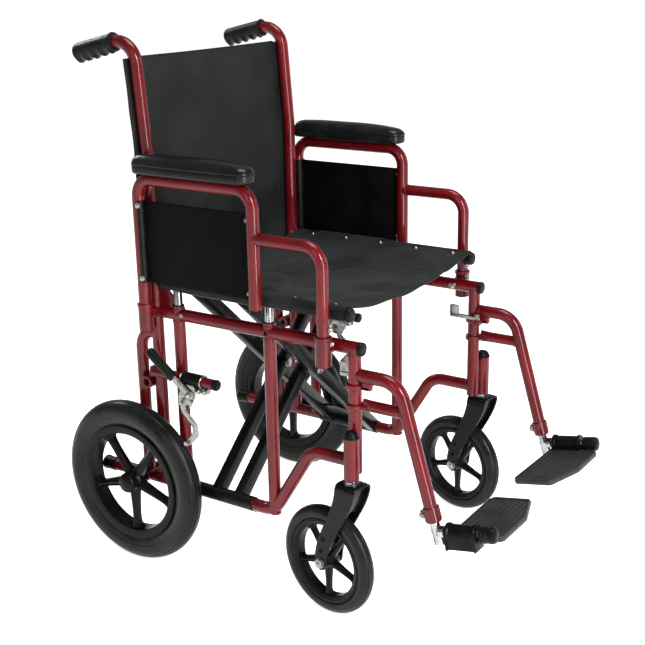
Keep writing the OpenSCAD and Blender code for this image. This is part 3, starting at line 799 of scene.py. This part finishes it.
def foot_post(key):
    """Sliding post, flattened at its foot, with the footplate's shaft."""
    shape = Shape(key)
    start = hanger_low - post_way * 95
    reach = 137
    count = 40

    def foot(along):
        flat = share((along - 0.84) / 0.07)
        return 8 - 3.0 * flat, 8 + 1.6 * flat

    shape.sweep([start + post_way * reach * k / count for k in range(count + 1)], foot, 0, 28, X)
    forward = Vector((0, -cos(toe_up), sin(toe_up)))
    eye = at(side_x, shaft.y, shaft.z)
    shape.rod(eye - forward * 6, forward, 112, 6.9, 0, 0.8)
    shape.rod(eye + forward * 6, forward, 12, 9.6, 0, 1)
    shape.lathe([(9, 0), (10.4, 1), (10.4, 4), (9, 5)], eye + forward * 4, forward, 0, 6)
    shape.build_side("chrome_post", [chrome], "foot_post", "foot_post")


def footplate(key):
    """Ribbed plate with its hinge block, flanges and the shaft's ribbed knob."""
    turn = Matrix.Translation(at(0, shaft.y, shaft.z)) @ Matrix.Rotation(-toe_up, 4, "X")
    shape = Shape(key)
    plate_in, outer = ends("footplate_l", 0)[0], side_x + 4
    low, thick = -16.5, 7.5
    corners = [(plate_in, -20), (plate_in + 10, -14), (outer - 12, -18), (outer, -28),
               (outer, -74), (outer - 20, -112), (plate_in + 70, -112), (plate_in, -88)]
    outline = rounded(corners, [6, 8, 8, 8, 12, 9, 12, 9])
    shape.plate([outline], (0, 0, low), X, Y, thick, 0, 1.4)
    middle = [sum(p[i] for p in outline) / len(outline) for i in (0, 1)]

    def inset(part):
        return [(middle[0] + (x - middle[0]) * part, middle[1] + (y - middle[1]) * part)
                for x, y in outline]

    shape.plate([inset(0.985), inset(0.93)[::-1]], (0, 0, low + thick - 0.6), X, Y, 2.2, 0, 0.5)
    for k in range(8):
        y = -27 - 10.6 * k
        near = plate_in + 9 + max(0, -86 - y) * 2.6
        far = outer - 26 if y < -80 else side_x - 20
        shape.block((near, y - 1.7, low + thick - 1), (far, y + 1.7, low + thick + 1.3), 0, 0.7)
    for k in range(4):
        y = -34 - 13 * k
        shape.block((plate_in + 16, y - 1.6, low - 3.5), (outer - 20, y + 1.6, low + 1), 0, 0.6)
    block = [(15.2, -22), (16.2, -23), (16.2, -27), (15.2, -28), (14.2, -29), (14.2, -69),
             (15.2, -70), (16.2, -71), (16.2, -75), (15.2, -76)]
    shape.lathe(block[::-1], (side_x, 0, 0), Y, 1, 44)
    shape.block((side_x - 13.5, -74, -25), (side_x + 15.6, -24, 3), 1, 3)
    for y in (-76.5, -25.5):
        shape.block((side_x - 15, y, -26), (side_x + 16.8, y + 4, 8), 1, 1.5)
    rings = []
    for along, r in ((-82, 11), (-83.5, 12.6), (-88, 12.9), (-88.6, 12.2), (-90, 12.2),
                     (-90.6, 12.9), (-95, 12.9), (-95.6, 12.2), (-97, 12.2), (-97.6, 12.9),
                     (-104, 12.9), (-107.5, 11.6), (-109.4, 8), (-110, 1)):
        ring = []
        for t in angles(72):
            ripple = 0.35 * cos(24 * t) if r > 12.5 else 0
            ring.append((side_x + (r + ripple) * cos(t), along, (r + ripple) * sin(t)))
        rings.append(ring)
    shape.rings(rings, 1)
    shape.points = [turn @ Vector(p) for p in shape.points]
    shape.build_side("ribbed_footplate", [ribbed, plastic], "footplate", "footplate")


def footrest_latch(key):
    """Release bar with its turned-up thumb tab and pivot screw."""
    shape = Shape(key)
    x, y = latch.x, latch.y
    low, high = 423.5, 430.5
    bar = [(y - 6, low), (y + 56, low), (y + 56, high), (y - 6, high)]
    shape.plate([rounded(bar, 2.5)], (x - 3, 0, 0), Y, Z, 6, 0, 0.8)
    tab = [(y + 38, 427), (y + 57, 427), (y + 57, 448), (y + 38, 448)]
    shape.plate([rounded(tab, [1, 1, 4, 4])], (x - 2, 0, 0), Y, Z, 2.6, 0, 0.6)
    for z in (434, 438.5, 443):
        shape.block((x + 0.4, y + 41, z - 0.8), (x + 1.3, y + 54, z + 0.8), 0, 0.3)
    shape.bolt((x, y, high), Z, 4.2, slot=0, height=3)
    shape.rod((x, y, 414), Z, 17, 2.4, 0, 0.4, 20)
    shape.build_side("latch_bar", [zinc], "latch", "footrest_latch")


# ---------- Wheels ----------


def tyre_outline(radius, width, inner, grooves):
    """Section of a solid tyre, with grooves at those angles from the tread's middle."""
    crown = width / 2
    core = radius - crown
    outline = [(inner, -width * 0.30), (inner + 3, -width * 0.36),
               (core - crown * 0.42, -crown * 0.9), (core - crown * 0.36, -crown * 0.96),
               (core - crown * 0.2, -crown * 0.995)]
    for degrees in range(-84, 85, 4):
        gap = min(abs(degrees - g) for g in grooves)
        if gap < 4:
            continue
        t = radians(degrees)
        outline.append((core + crown * cos(t), crown * sin(t)))
    for g in grooves:
        for offset, depth in ((-2.6, 0), (-1.9, 1.1), (1.9, 1.1), (2.6, 0)):
            t = radians(g + offset)
            outline.append((core + (crown - depth) * cos(t), (crown - depth) * sin(t)))
    head, tail = outline[:5], sorted(outline[5:], key=lambda p: atan2(p[1], p[0] - core))
    mirrored = [(r, -along) for r, along in head[::-1]]
    return head + tail + mirrored


def mirrored(half, middle=()):
    """Outline of (radius, place) points, followed by its mirror image."""
    return half + list(middle) + [(r, -along) for r, along in half[::-1]]


def spoke(shape, centre, angle, start, stop, wide, thin, slot=0):
    """Ridged spoke that widens into the hub and the rim."""
    out = Vector((0, sin(angle), cos(angle)))
    across = Vector((0, cos(angle), -sin(angle)))
    rings = []
    for i in range(25):
        s = i / 24
        w = wide * (0.68 + 0.42 * (1 - s) ** 1.6 + 1.5 * max(0.0, (s - 0.78) / 0.22) ** 2.4)
        h = thin * (1 - 0.25 * sin(pi * s) ** 2 * s)
        middle = Vector(centre) + out * (start + (stop - start) * s)
        section = mirrored([(w, 0.45 * h), (0.62 * w, 0.62 * h), (0.22 * w, h), (-0.22 * w, h),
                            (-0.62 * w, 0.62 * h), (-w, 0.45 * h)])
        rings.append([middle + across * a + X * b for a, b in section])
    shape.rings(rings, slot)


def wheel(shape_tyre, shape_rim, centre, radius, width, seat, hub_r, hub_half, wide):
    """Tyre and five-spoked centre. seat is the radius where the tyre sits on the rim."""
    small = radius < 120
    grooves = (-30, 0, 30) if small else (-52, -34, -16, 16, 34, 52)
    shape_tyre.ring(tyre_outline(radius, width, seat + 0.3, grooves), centre, X, 0, 128)
    lip = width * 0.42
    inner = seat - (9 if small else 13.5)
    rim = mirrored([(seat + 0.1, -lip * 0.7), (seat + 2.4, -lip), (seat - 1.5, -lip - 0.8),
                    (inner + 1.5, -lip + 1.5), (inner, -lip + 3.4)], [(inner - 0.8, 0)])
    shape_rim.ring(rim, centre, X, 0, 96)
    for turn in angles(spokes):
        spoke(shape_rim, centre, spoke_lead + turn, hub_r * 0.7, inner + 1, wide, lip * 0.62)
    h = hub_half
    hub = mirrored([(hub_r * 0.62, -h), (hub_r * 0.8, -h + 0.8), (hub_r * 0.86, -h * 0.55),
                    (hub_r, -h * 0.3)])
    shape_rim.lathe(hub, centre, X, 0, 48)


def rear_wheel(key):
    tyre, rim = Shape(key), Shape(key)
    centre = (axle.x, axle.y, axle.z)
    wheel(tyre, rim, centre, axle.z, 42, 108.8, 21, 19.6, 9)
    cap = [(19.5, 13), (19.2, 18), (18.4, 22), (16.8, 25.3), (14, 27.8), (10, 29.6), (5, 30.6),
           (0.5, 30.9)]
    rim.lathe(cap, centre, X, 0, 48)
    tyre.build_side("rear_tread", [rubber], "rear_wheel", "rear_tyre", 28)
    rim.build_side("rear_spokes", [plastic], "rear_wheel", "rear_rim", 28)


def place_caster(shape):
    """Turns a caster piece, drawn with its stem at the origin, into its place on its side."""
    side = SIDES[shape.key]
    turn = atan2(side * (stem.x - caster_spin.x), caster_spin.y - stem.y)
    place = Matrix.Translation((stem.x, stem.y, 0)) @ Matrix.Rotation(turn, 4, "Z")
    shape.points = [place @ Vector(p) for p in shape.points]
    shape.points = [(p.x * side, p.y, p.z) for p in shape.points]
    if side < 0:
        shape.faces = [face[::-1] for face in shape.faces]


caster_spin = pivots["caster_spin_l"]
trail = hypot(caster.x - stem.x, caster.y - stem.y)
fork_top = 257
fork_x = 20


def leg_middle(z):
    t = share((fork_top - z) / (fork_top - caster.z))
    return -2 + (trail + 2) * (3 * t * t - 2 * t ** 3)


def leg_half(z):
    t = share((fork_top - z) / (fork_top - caster.z))
    if z < caster.z:
        return sqrt(max(0.3, 13 ** 2 - (caster.z - z) ** 2))
    return 22 - 9 * t


def caster_fork(key):
    """Pressed fork: one strip bent over the head into two S-curved legs, with a front web."""
    shape = Shape(key, 1)
    bend = 8
    low = caster.z - 12.9
    path = [(-fork_x, low + (caster.z - low) * k / 6) for k in range(6)]
    path += [(-fork_x, caster.z + (fork_top - 2 - bend - caster.z) * k / 16) for k in range(17)]
    path += [(-fork_x + bend - bend * cos(a), fork_top - 2 - bend + bend * sin(a))
             for a in (radians(d) for d in range(15, 91, 15))]
    path = path + [(-x, z) for x, z in path[::-1]]
    rings = []
    t = 2.0
    for i, (x, z) in enumerate(path):
        a, b = Vector(path[max(i - 1, 0)]), Vector(path[min(i + 1, len(path) - 1)])
        if (b - a).length < 1e-6:
            continue
        way = (b - a).normalized()
        n = Vector((-way.y, way.x))
        y0, y1 = leg_middle(z) - leg_half(z), leg_middle(z) + leg_half(z)
        e = min(0.9, (y1 - y0) / 4)
        section = [(y0 + e, t), (y1 - e, t), (y1, t - e), (y1, e - t), (y1 - e, -t), (y0 + e, -t),
                   (y0, e - t), (y0, t - e)]
        rings.append([(x + n.x * out, y, z + n.y * out) for y, out in section])
    shape.rings(rings)
    web, depth = [], 62
    for k in range(17):
        row = []
        for x in (-fork_x, -fork_x * 0.66, -fork_x * 0.33, 0, fork_x * 0.33, fork_x * 0.66, fork_x):
            arch = 10 * (1 - (x / fork_x) ** 2)
            row.append((x, fork_top - 2.5 - (depth - arch) * k / 16))
        front = [(x, leg_middle(z) - leg_half(z) + 9, z) for x, z in row]
        web.append(front + [(x, y + 3, z) for x, y, z in front[::-1]])
    shape.rings(web)
    shape.lathe([(14, fork_top - 0.5), (14, fork_top + 1), (11, fork_top + 1.8),
                 (11, fork_top + 4)], (0, 0, 0), Z, 1)
    for x, way in ((fork_x + 1.9, X), (-fork_x - 1.9, -X)):
        for y, z in ((trail - 2, caster.z + 24), (trail - 8, caster.z + 48)):
            shape.ring([(3.9, -0.4), (5.4, -0.4), (5.4, 0.3), (4.9, 0.7), (3.9, 0.7)],
                       (x, y, z), way, 0, 24)
            # A thin matte black disc inside each eyelet is painted shade, standing for the dark hole through the
            # leg.
            shape.lathe([(3.9, 0), (3.9, 0.15), (0.2, 0.15)], (x, y, z), way, 2, 24)
        shape.bolt((x, trail, caster.z), way, 6.6, "nut", height=4)
    place_caster(shape)
    shape.build_side("pressed_fork", [black, zinc, panel_black], "fork", "caster_fork")


def caster_wheel(key):
    tyre, rim = Shape(key, 1), Shape(key, 1)
    centre = (0, trail, caster.z)
    wheel(tyre, rim, centre, caster.z, 28, 73.8, 15, 17.2, 7)
    for shape, name, skin, node in ((tyre, "caster_tread", rubber, "caster_tyre"),
                                    (rim, "caster_spokes", plastic, "caster_rim")):
        place_caster(shape)
        shape.build_side(name, [skin], "caster", node, 28)


# ---------- Wheel locks ----------

plate_x = stub_x + stub_r + 3
lever_x = plate_x + 6


def brake_clamp(key):
    """Clamp sleeve on the stub tube with its hanging plate, pivots and clamp screws."""
    shape = Shape(key)
    start = lever.y - 20
    shape.pipe((stub_x, start, stub_z), Y, 46, stub_r + 3, stub_r + 0.3, 0, 1)
    for y in (start - 1, start + 44):
        shape.pipe((stub_x, y, stub_z), Y, 3, stub_r + 3.5, stub_r + 0.3, 1, 0.6)
    plate = [(lever.y - 11, stub_z - 4), (lever.y - 11, lever.z - 2), (shoe.y - 12, shoe.z - 10),
             (shoe.y + 10, shoe.z - 10), (shoe.y + 14, shoe.z + 6), (lever.y + 16, stub_z - 4)]
    shape.plate([rounded(plate, 6)], (plate_x - 0.6, 0, 0), Y, Z, 3.6, 1, 0.6)
    for pin, long, seat, size, kind in ((lever, 13, 8.2, 5, "nut"), (shoe, 14, 9.8, 4.4, "hex")):
        shape.rod((plate_x - 4, pin.y, pin.z), X, long, 3.4, 1, 0.4)
        shape.bolt((plate_x + seat, pin.y, pin.z), X, size, kind)
    screw_z = stub_z - stub_r - 6
    shape.block((stub_x - 7, start - 10, screw_z - 5),
                (stub_x + 4, start + 52, screw_z + 5), 1, 1.5)
    for y in (start - 6, start + 7, start + 47):
        shape.rod((stub_x + 2, y, screw_z), X, 7, 2.6, 1, 0.4)
        shape.bolt((stub_x + 6, y, screw_z), X, 4.4, "nut")
    shape.build_side("lock_clamp", [plastic, zinc], "frame", "brake_clamp")


def brake_lever(key):
    """Toggle bar that ends in a vinyl grip."""
    shape = Shape(key)
    mid = at(lever_x, lever.y + 34, lever.z + 26)
    tip = at(lever_x, lever.y + 90, lever.z + 69)
    way = unit(mid, tip)
    bar = [at(lever_x, lever.y + 34 * k / 6, lever.z + 26 * k / 6) for k in range(7)]
    shape.sweep(bar + [mid + way * 12], lambda along: (1.9, 7.6 - 1.2 * along), 0, 16, X, 0.5)
    for k in range(4):
        rib = bar[2] + way * (5 * k) + X * 1.6
        shape.rod(rib - way.cross(X) * 4.5, way.cross(X), 9, 0.8, 0, 0.2, 8)
    shape.rod((lever_x - 1.9, lever.y, lever.z), X, 3.8, 9, 0, 0.6)
    long = (tip - mid).length
    profile = [(7.2, 0), (8.6, 1.2), (8.8, long * 0.3), (9.0, long * 0.7), (8.9, long - 6),
               (8.0, long - 2.4), (5.4, long - 0.5), (0.5, long)]
    shape.lathe(profile, mid, way, 1, 32)
    shape.build_side("lock_lever", [zinc, vinyl], "lever", "brake_lever")


def brake_shoe(key):
    """S-bent shoe strip with its cross pin."""
    shape = Shape(key)
    path = [(shoe.y - 17, shoe.z + 7), (shoe.y + 2, shoe.z - 1, 3),
            (shoe.y - 2, shoe.z - 16, 6), (shoe.y - 26, shoe.z - 38, 8),
            (shoe.y - 28, shoe.z - 54, 8), (shoe.y - 8, shoe.z - 75)]
    x = plate_x + 7.6
    line = route(path, x, 6)
    shape.sweep(line, lambda along: (2, 6.5), 0, 14, X, 0.5)
    shape.rod((x - 2, shoe.y, shoe.z), X, 4, 8, 0, 0.6)
    shape.rod((plate_x - 0.5, shoe.y - 8, shoe.z - 75), X, 16, 4.8, 0, 1)
    shape.build_side("lock_shoe", [zinc], "shoe", "brake_shoe")


# ---------- Cross-brace and seat rails ----------

sleeve_r = 12.9
brace_rise = atan2(seat_z - low_z, 2 * side_x)


def brace(name, spacing, flip, body, node):
    """Pair of bars from a low corner to the opposite seat rail, with their sleeves."""
    shape = Shape("r" if flip else "l")
    long = hypot(2 * side_x, seat_z - low_z)
    turn = Matrix.Translation((-side_x, 0, low_z)) @ Matrix.Rotation(-brace_rise, 4, "Y")
    for way in (-1, 1):
        y = brace_y + way * spacing
        shape.block((4, y - 9, -13), (long - 4, y + 9, 13), 0, 2.6, turn)
        shape.pipe(turn @ Vector((long / 2, y, 0)) - Y * 9.6, Y, 19.2, 12, 5.3, 0, 0.8)
    if flip:
        web = [(30, -spacing + 8), (70, -spacing + 8), (88, 0), (70, spacing - 8),
               (30, spacing - 8), (46, 0)]
        outline = [(x, y + brace_y) for x, y in rounded(web, [3, 16, 12, 16, 3, 22])]
        points = Shape()
        points.plate([outline], (0, 0, -3), X, Y, 6, 0, 0.8)
        shape.add([turn @ Vector(p) for p in points.points], points.faces)
    for x, z, start, long_y in ((-side_x, low_z, -61, 140), (side_x, seat_z, -68, 136)):
        shape.pipe((x, brace_y + start, z), Y, long_y, sleeve_r, tube_r + 0.25, 0, 1.1)
        for way in (-1, 1):
            for off in (-9.5, 9.5):
                shape.bead((x, brace_y + way * spacing + off, z), Y, sleeve_r - 0.8, 1.3)
    shape.build(name, [black], body, [node])


def seat_rail_cap(key):
    """Plugs in the ends of the seat rail."""
    shape = Shape(key)
    front, back = ends("seat_rail_l", 1)
    plug(shape, (side_x, front + 2, seat_z), -Y, tube_r - 0.2)
    plug(shape, (side_x, back - 2, seat_z), Y, tube_r - 0.2)
    shape.build_side("seat_rail_plugs", [plastic], "seat")


# ---------- Slings ----------

sling_front = front_y + 12
sling_back = front_y + 400
sag = 16
cloth = 2.2
rng = random.Random(7)


def folds(count, low, high, strength):
    """Random soft folds: (place, width, height) of each."""
    return [(rng.uniform(low, high), rng.uniform(18, 46), rng.uniform(-strength, strength))
            for _ in range(count)]


def fold_height(pleats, u):
    return sum(h * exp(-((u - c) / w) ** 2) for c, w, h in pleats)


def cloth_piece(name, rows):
    """Closed sheet from rows of points on its upper side, thickened downwards."""
    mesh = bpy.data.meshes.new(name)
    count = len(rows[0])
    faces = [[a, a + 1, a + count + 1, a + count]
             for i in range(len(rows) - 1) for a in range(i * count, (i + 1) * count - 1)]
    mesh.from_pydata([Vector(p) * MM for row in rows for p in row], [], faces)
    mesh.materials.append(nylon)
    smooth(mesh)
    piece = add_object(name, mesh)
    solid = piece.modifiers.new("thickness", "SOLIDIFY")
    solid.thickness = cloth * MM
    solid.offset = -1
    bpy.context.view_layer.update()
    graph = bpy.context.evaluated_depsgraph_get()
    mesh = bpy.data.meshes.new_from_object(piece.evaluated_get(graph))
    piece.modifiers.clear()
    piece.data = mesh
    smooth(mesh, 50)
    return piece


def stitch(hem, half, count, up, place):
    """Row of stitches over a sling. place gives the point for x, a step from it and a lift."""
    for k in range(1, count):
        x = -half + 2 * half * (k + 0.5) / (count + 1)
        line = [place(x, step, lift) for step, lift in ((-1.0, 0.1), (0, 0.25), (1.0, 0.1))]
        hem.sweep(line, 0.3, 1, 5, up, 0.05)


def finish_sling(piece, hem, name, node, body):
    """The sling and its hems, each with a mesh of its own, riding on one body."""
    hems = hem.build(name, [binding, thread], body)
    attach(piece, body)
    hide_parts(node)
    for part in (piece, hems):
        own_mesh(part)
    return piece, hems


def rail_skin(y):
    """Radius of what the cloth lies on along the seat rail: the tube, or the brace's sleeve."""
    gap = max(0.0, abs(y - brace_y) - 68) / 14
    return tube_r + 0.9 + (sleeve_r - tube_r + 0.3) * exp(-gap * gap)


def seat_height(x, y):
    """Top of the seat sling: a sag that is deepest in the middle, with soft folds."""
    aside = share(abs(x) / side_x)
    along = share((y - sling_front) / (sling_back - sling_front))
    deep = sag + 3 * sin(pi * along) + 5.5 * (1 - along) ** 2
    z = seat_z + rail_skin(y) + cloth - deep * (1 - aside ** 2.2)
    loose = 1 - aside ** 4
    z += loose * fold_height(seat_folds_x, x + 0.45 * (y - sling_front)) * (1 - along) ** 0.8
    z += loose * fold_height(seat_folds_y, y + 0.25 * x)
    z += loose * fold_height(seat_creases, x - 0.9 * (y - sling_front)) * (1 - along)
    for screw in screw_ys:
        away = hypot(abs(x) - screw_x, (y - screw) * 1.5) / 15
        z -= 3.4 * exp(-away * away)
    return z


screw_x = side_x - 10
screw_ys = [sling_front + 30 + 80 * k for k in range(5)]
seat_folds_x = folds(10, -170, 170, 1.3)
seat_folds_y = folds(8, sling_front + 30, sling_back, 2.6)
seat_creases = [(rng.uniform(-60, 190), rng.uniform(9, 16), rng.uniform(0.5, 1.6))
                for _ in range(6)]
back_folds = folds(9, -170, 170, 2.6)
back_low, back_high = ends("back_sling", 2)


def seat_sling():
    xs, ys = spread(-side_x, side_x, 84), spread(sling_front, sling_back, 78)
    rows = [[(x, y - 3.0 * sin(pi * (x + side_x) / (2 * side_x)) * (k < 2),
              seat_height(x, y)) for x in xs] for k, y in enumerate(ys)]
    piece = cloth_piece("seat_cloth", rows)
    hem = Shape()
    for y, way in ((sling_front - 0.5, 1), (sling_back + 0.5, -1)):
        line = [(x, y, seat_height(x, y) - cloth / 2) for x in xs]
        hem.sweep(line, lambda along: (2.6, 3.0), 0, 12, Y, 0.5)
    for y in (sling_front + 15, sling_front + 18, sling_back - 15):
        stitch(hem, side_x, 140, Y,
               lambda x, step, lift: (x + step, y, seat_height(x + step, y) + lift))
    return finish_sling(piece, hem, "seat_hems", "seat_sling", "seat_r")


def seat_edge(key):
    """The sling's side edge, wrapped over the seat rail, with its screws."""
    shape = Shape(key)
    rings = []
    for y in spread(sling_front, sling_back, 60):
        radius = rail_skin(y)
        pull = 0.4 * sin(y / 9.0) + 0.3 * sin(y / 4.1)
        turns = [radians(a) for a in range(98, -29, -9)]
        rings.append(
            [(side_x + (radius + cloth + pull * cos(t)) * cos(t), y,
              seat_z + (radius + cloth + 0.1) * sin(t)) for t in turns]
            + [(side_x + radius * cos(t), y, seat_z + radius * sin(t))
               for t in turns[::-1]])
    shape.rings(rings)
    for y in screw_ys:
        shape.bolt((screw_x, y, seat_height(screw_x, y) - 0.2), Z, 4.0, "dome")
    shape.build_side("seat_edge", [nylon, zinc], "seat", sharp=60)


def back_y(z):
    """Rear side of the canes, where the back sling lies."""
    lean = max(0, z - lean_z) * (cane_top_y - cane_y) / (handle_z - lean_z)
    return cane_y + tube_r + 0.6 + lean


inner_edge = side_x - 13


def back_depth(x, z):
    aside = share(abs(x) / inner_edge)
    up = (z - back_low) / (back_high - back_low)
    bulge = (7 + 5 * sin(pi * up)) * (1 - aside ** 2.4)
    loose = 1 - aside ** 4
    return back_y(z) + 1 + bulge + loose * fold_height(back_folds, x + 0.5 * (z - back_low)) * 0.7


def back_sling():
    xs, zs = spread(-inner_edge, inner_edge, 76), spread(back_low, back_high, 74)

    def drop(x, z):
        """The hems hang a little in the middle."""
        return -2 * (1 - (x / inner_edge) ** 2) * ((z - back_low) / (back_high - back_low)) ** 3

    rows = [[(x, back_depth(x, z), z + drop(x, z)) for x in xs] for z in zs]
    piece = cloth_piece("back_cloth", rows)
    hem = Shape()
    for z in (back_low, back_high):
        line = [(x, back_depth(x, z) + cloth / 2, z + drop(x, z)) for x in xs]
        hem.sweep(line, lambda along: (2.2, 1.8), 0, 12, Z, 0.5)
    for z in (back_high - 22, back_low + 22):
        stitch(hem, inner_edge, 130, Z, lambda x, step, lift: (
            x + step, back_depth(x + step, z) - lift, z + drop(x, z)))
    return finish_sling(piece, hem, "back_hems", "back_sling", "frame_r")


def back_edge(key):
    """The back sling's side strip behind the cane, folded double and screwed on."""
    shape = Shape(key)
    rings = []
    for z in spread(back_low, back_high, 60):
        y = back_y(z)
        x0, x1 = inner_edge - 4, side_x + 16
        w = 0.5 * sin(z / 13.0)
        rings.append([
            (x0, y + 0.6, z), (side_x - 5, y + 0.1, z), (side_x + 6, y + 0.1, z),
            (x1 - 4, y - 1.2, z), (x1 + w, y - 2.6, z), (x1 + 1.8 + w, y - 1.4, z),
            (x1 + 1.6 + w, y + 1.6, z), (x1 - 4, y + 3.6, z), (side_x + 6, y + 3.7, z),
            (side_x - 5, y + 3.7, z), (x0, y + 4.2, z)])
    shape.rings(rings)
    for z in back_screws_z:
        shape.bolt((side_x, back_y(z) + 3.5, z), Y, 3.6, "dome")
    shape.build_side("back_edge", [nylon, zinc], "frame", sharp=40)


# ---------- Room, light and camera ----------


def floor():
    """Pale floor, wide enough to have no edge in view and faintly lit from within, so that it
    stays pale far from the lights."""
    mesh = bpy.data.meshes.new("studio_floor")
    size = 60
    mesh.from_pydata([(-size, -size, 0), (size, -size, 0), (size, size, 0), (-size, size, 0)],
                     [], [(0, 1, 2, 3)])
    skin = bpy.data.materials.new("pale_floor")
    skin.use_nodes = True
    wiring = Wiring(skin.node_tree)
    wiring.set(wiring.nodes["Principled BSDF"], {
        "Base Color": (0.85, 0.85, 0.85, 1), "Roughness": 0.9,
        "Emission Color": (1, 1, 1, 1), "Emission Strength": 0.76})
    mesh.materials.append(skin)
    add_object("studio_floor", mesh)


def soft_light(name, place, size, power):
    """Square soft light at a place in metres, aimed at the chair."""
    data = bpy.data.lights.new(name, "AREA")
    data.shape = "RECTANGLE"
    data.size, data.size_y = size
    data.energy = power
    lamp = add_object(name, data)
    lamp.location = place
    lamp.rotation_mode = "QUATERNION"
    lamp.rotation_quaternion = (Vector(place) - Vector((0, 0, 0.45))).to_track_quat("Z", "Y")


def studio():
    world = bpy.data.worlds.new("studio")
    world.use_nodes = True
    wiring = Wiring(world.node_tree)
    height = wiring.add("SeparateXYZ", "Z", {0: wiring.add("TexCoord", "Generated", {})})
    fade = wiring.ramp(height, 0.7, 0.3, 0.01, 0.3)
    wiring.set(wiring.nodes["Background"], {"Color": (1, 1, 1, 1), "Strength": fade})
    scene.world = world
    soft_light("key", (-1.9, -3.3, 2.9), (0.9, 1.5), 85)
    soft_light("strip", (-0.80, -1.62, 0.98), (0.34, 1.9), 36)
    soft_light("top", (0.3, -0.2, 3.6), (1.8, 1.8), 70)
    soft_light("side", (-3.4, -0.3, 1.9), (0.5, 1.5), 14)
    soft_light("fill", (2.6, -2.8, 1.9), (0.5, 1.4), 16)
    soft_light("rim", (0.6, 3.2, 2.6), (1.6, 0.7), 40)
    scene.view_settings.view_transform = "Standard"
    scene.view_settings.look = "None"


def camera():
    """Camera on the sitter's front right, a little above the arms, tipped slightly."""
    azimuth, elevation, roll = (radians(a) for a in (-55.77, 17.28, -1.12))
    back = Vector((sin(azimuth) * cos(elevation),
                   -cos(azimuth) * cos(elevation), sin(elevation)))
    data = bpy.data.cameras.new("camera")
    data.sensor_width = 36
    data.lens = 65.5
    view = add_object("camera", data)
    view.location = (-1.7218, -1.1433, 1.0836)
    view.rotation_mode = "QUATERNION"
    aim = (-back).to_track_quat("-Z", "Y")
    view.rotation_quaternion = aim @ Matrix.Rotation(roll, 3, "Z").to_quaternion()
    scene.camera = view


camera()
studio()
floor()
dress_cad_nodes()
for key in SIDES:
    for make in (cane, side_rail, lower_rail, front_upright, rear_hoop, end_caps, handle_grip,
                 arm_frame, arm_pad, skirt_guard, hanger, foot_post, footplate, footrest_latch,
                 rear_wheel, caster_fork, caster_wheel, brake_clamp, brake_lever, brake_shoe,
                 seat_rail_cap, seat_edge, back_edge):
        make(key)
brace("brace_bars_a", 50, True, "brace_a", "cross_brace_a")
brace("brace_bars_b", 25, False, "brace_b", "cross_brace_b")
seat_cloth, seat_hems = seat_sling()
back_cloth, back_hems = back_sling()
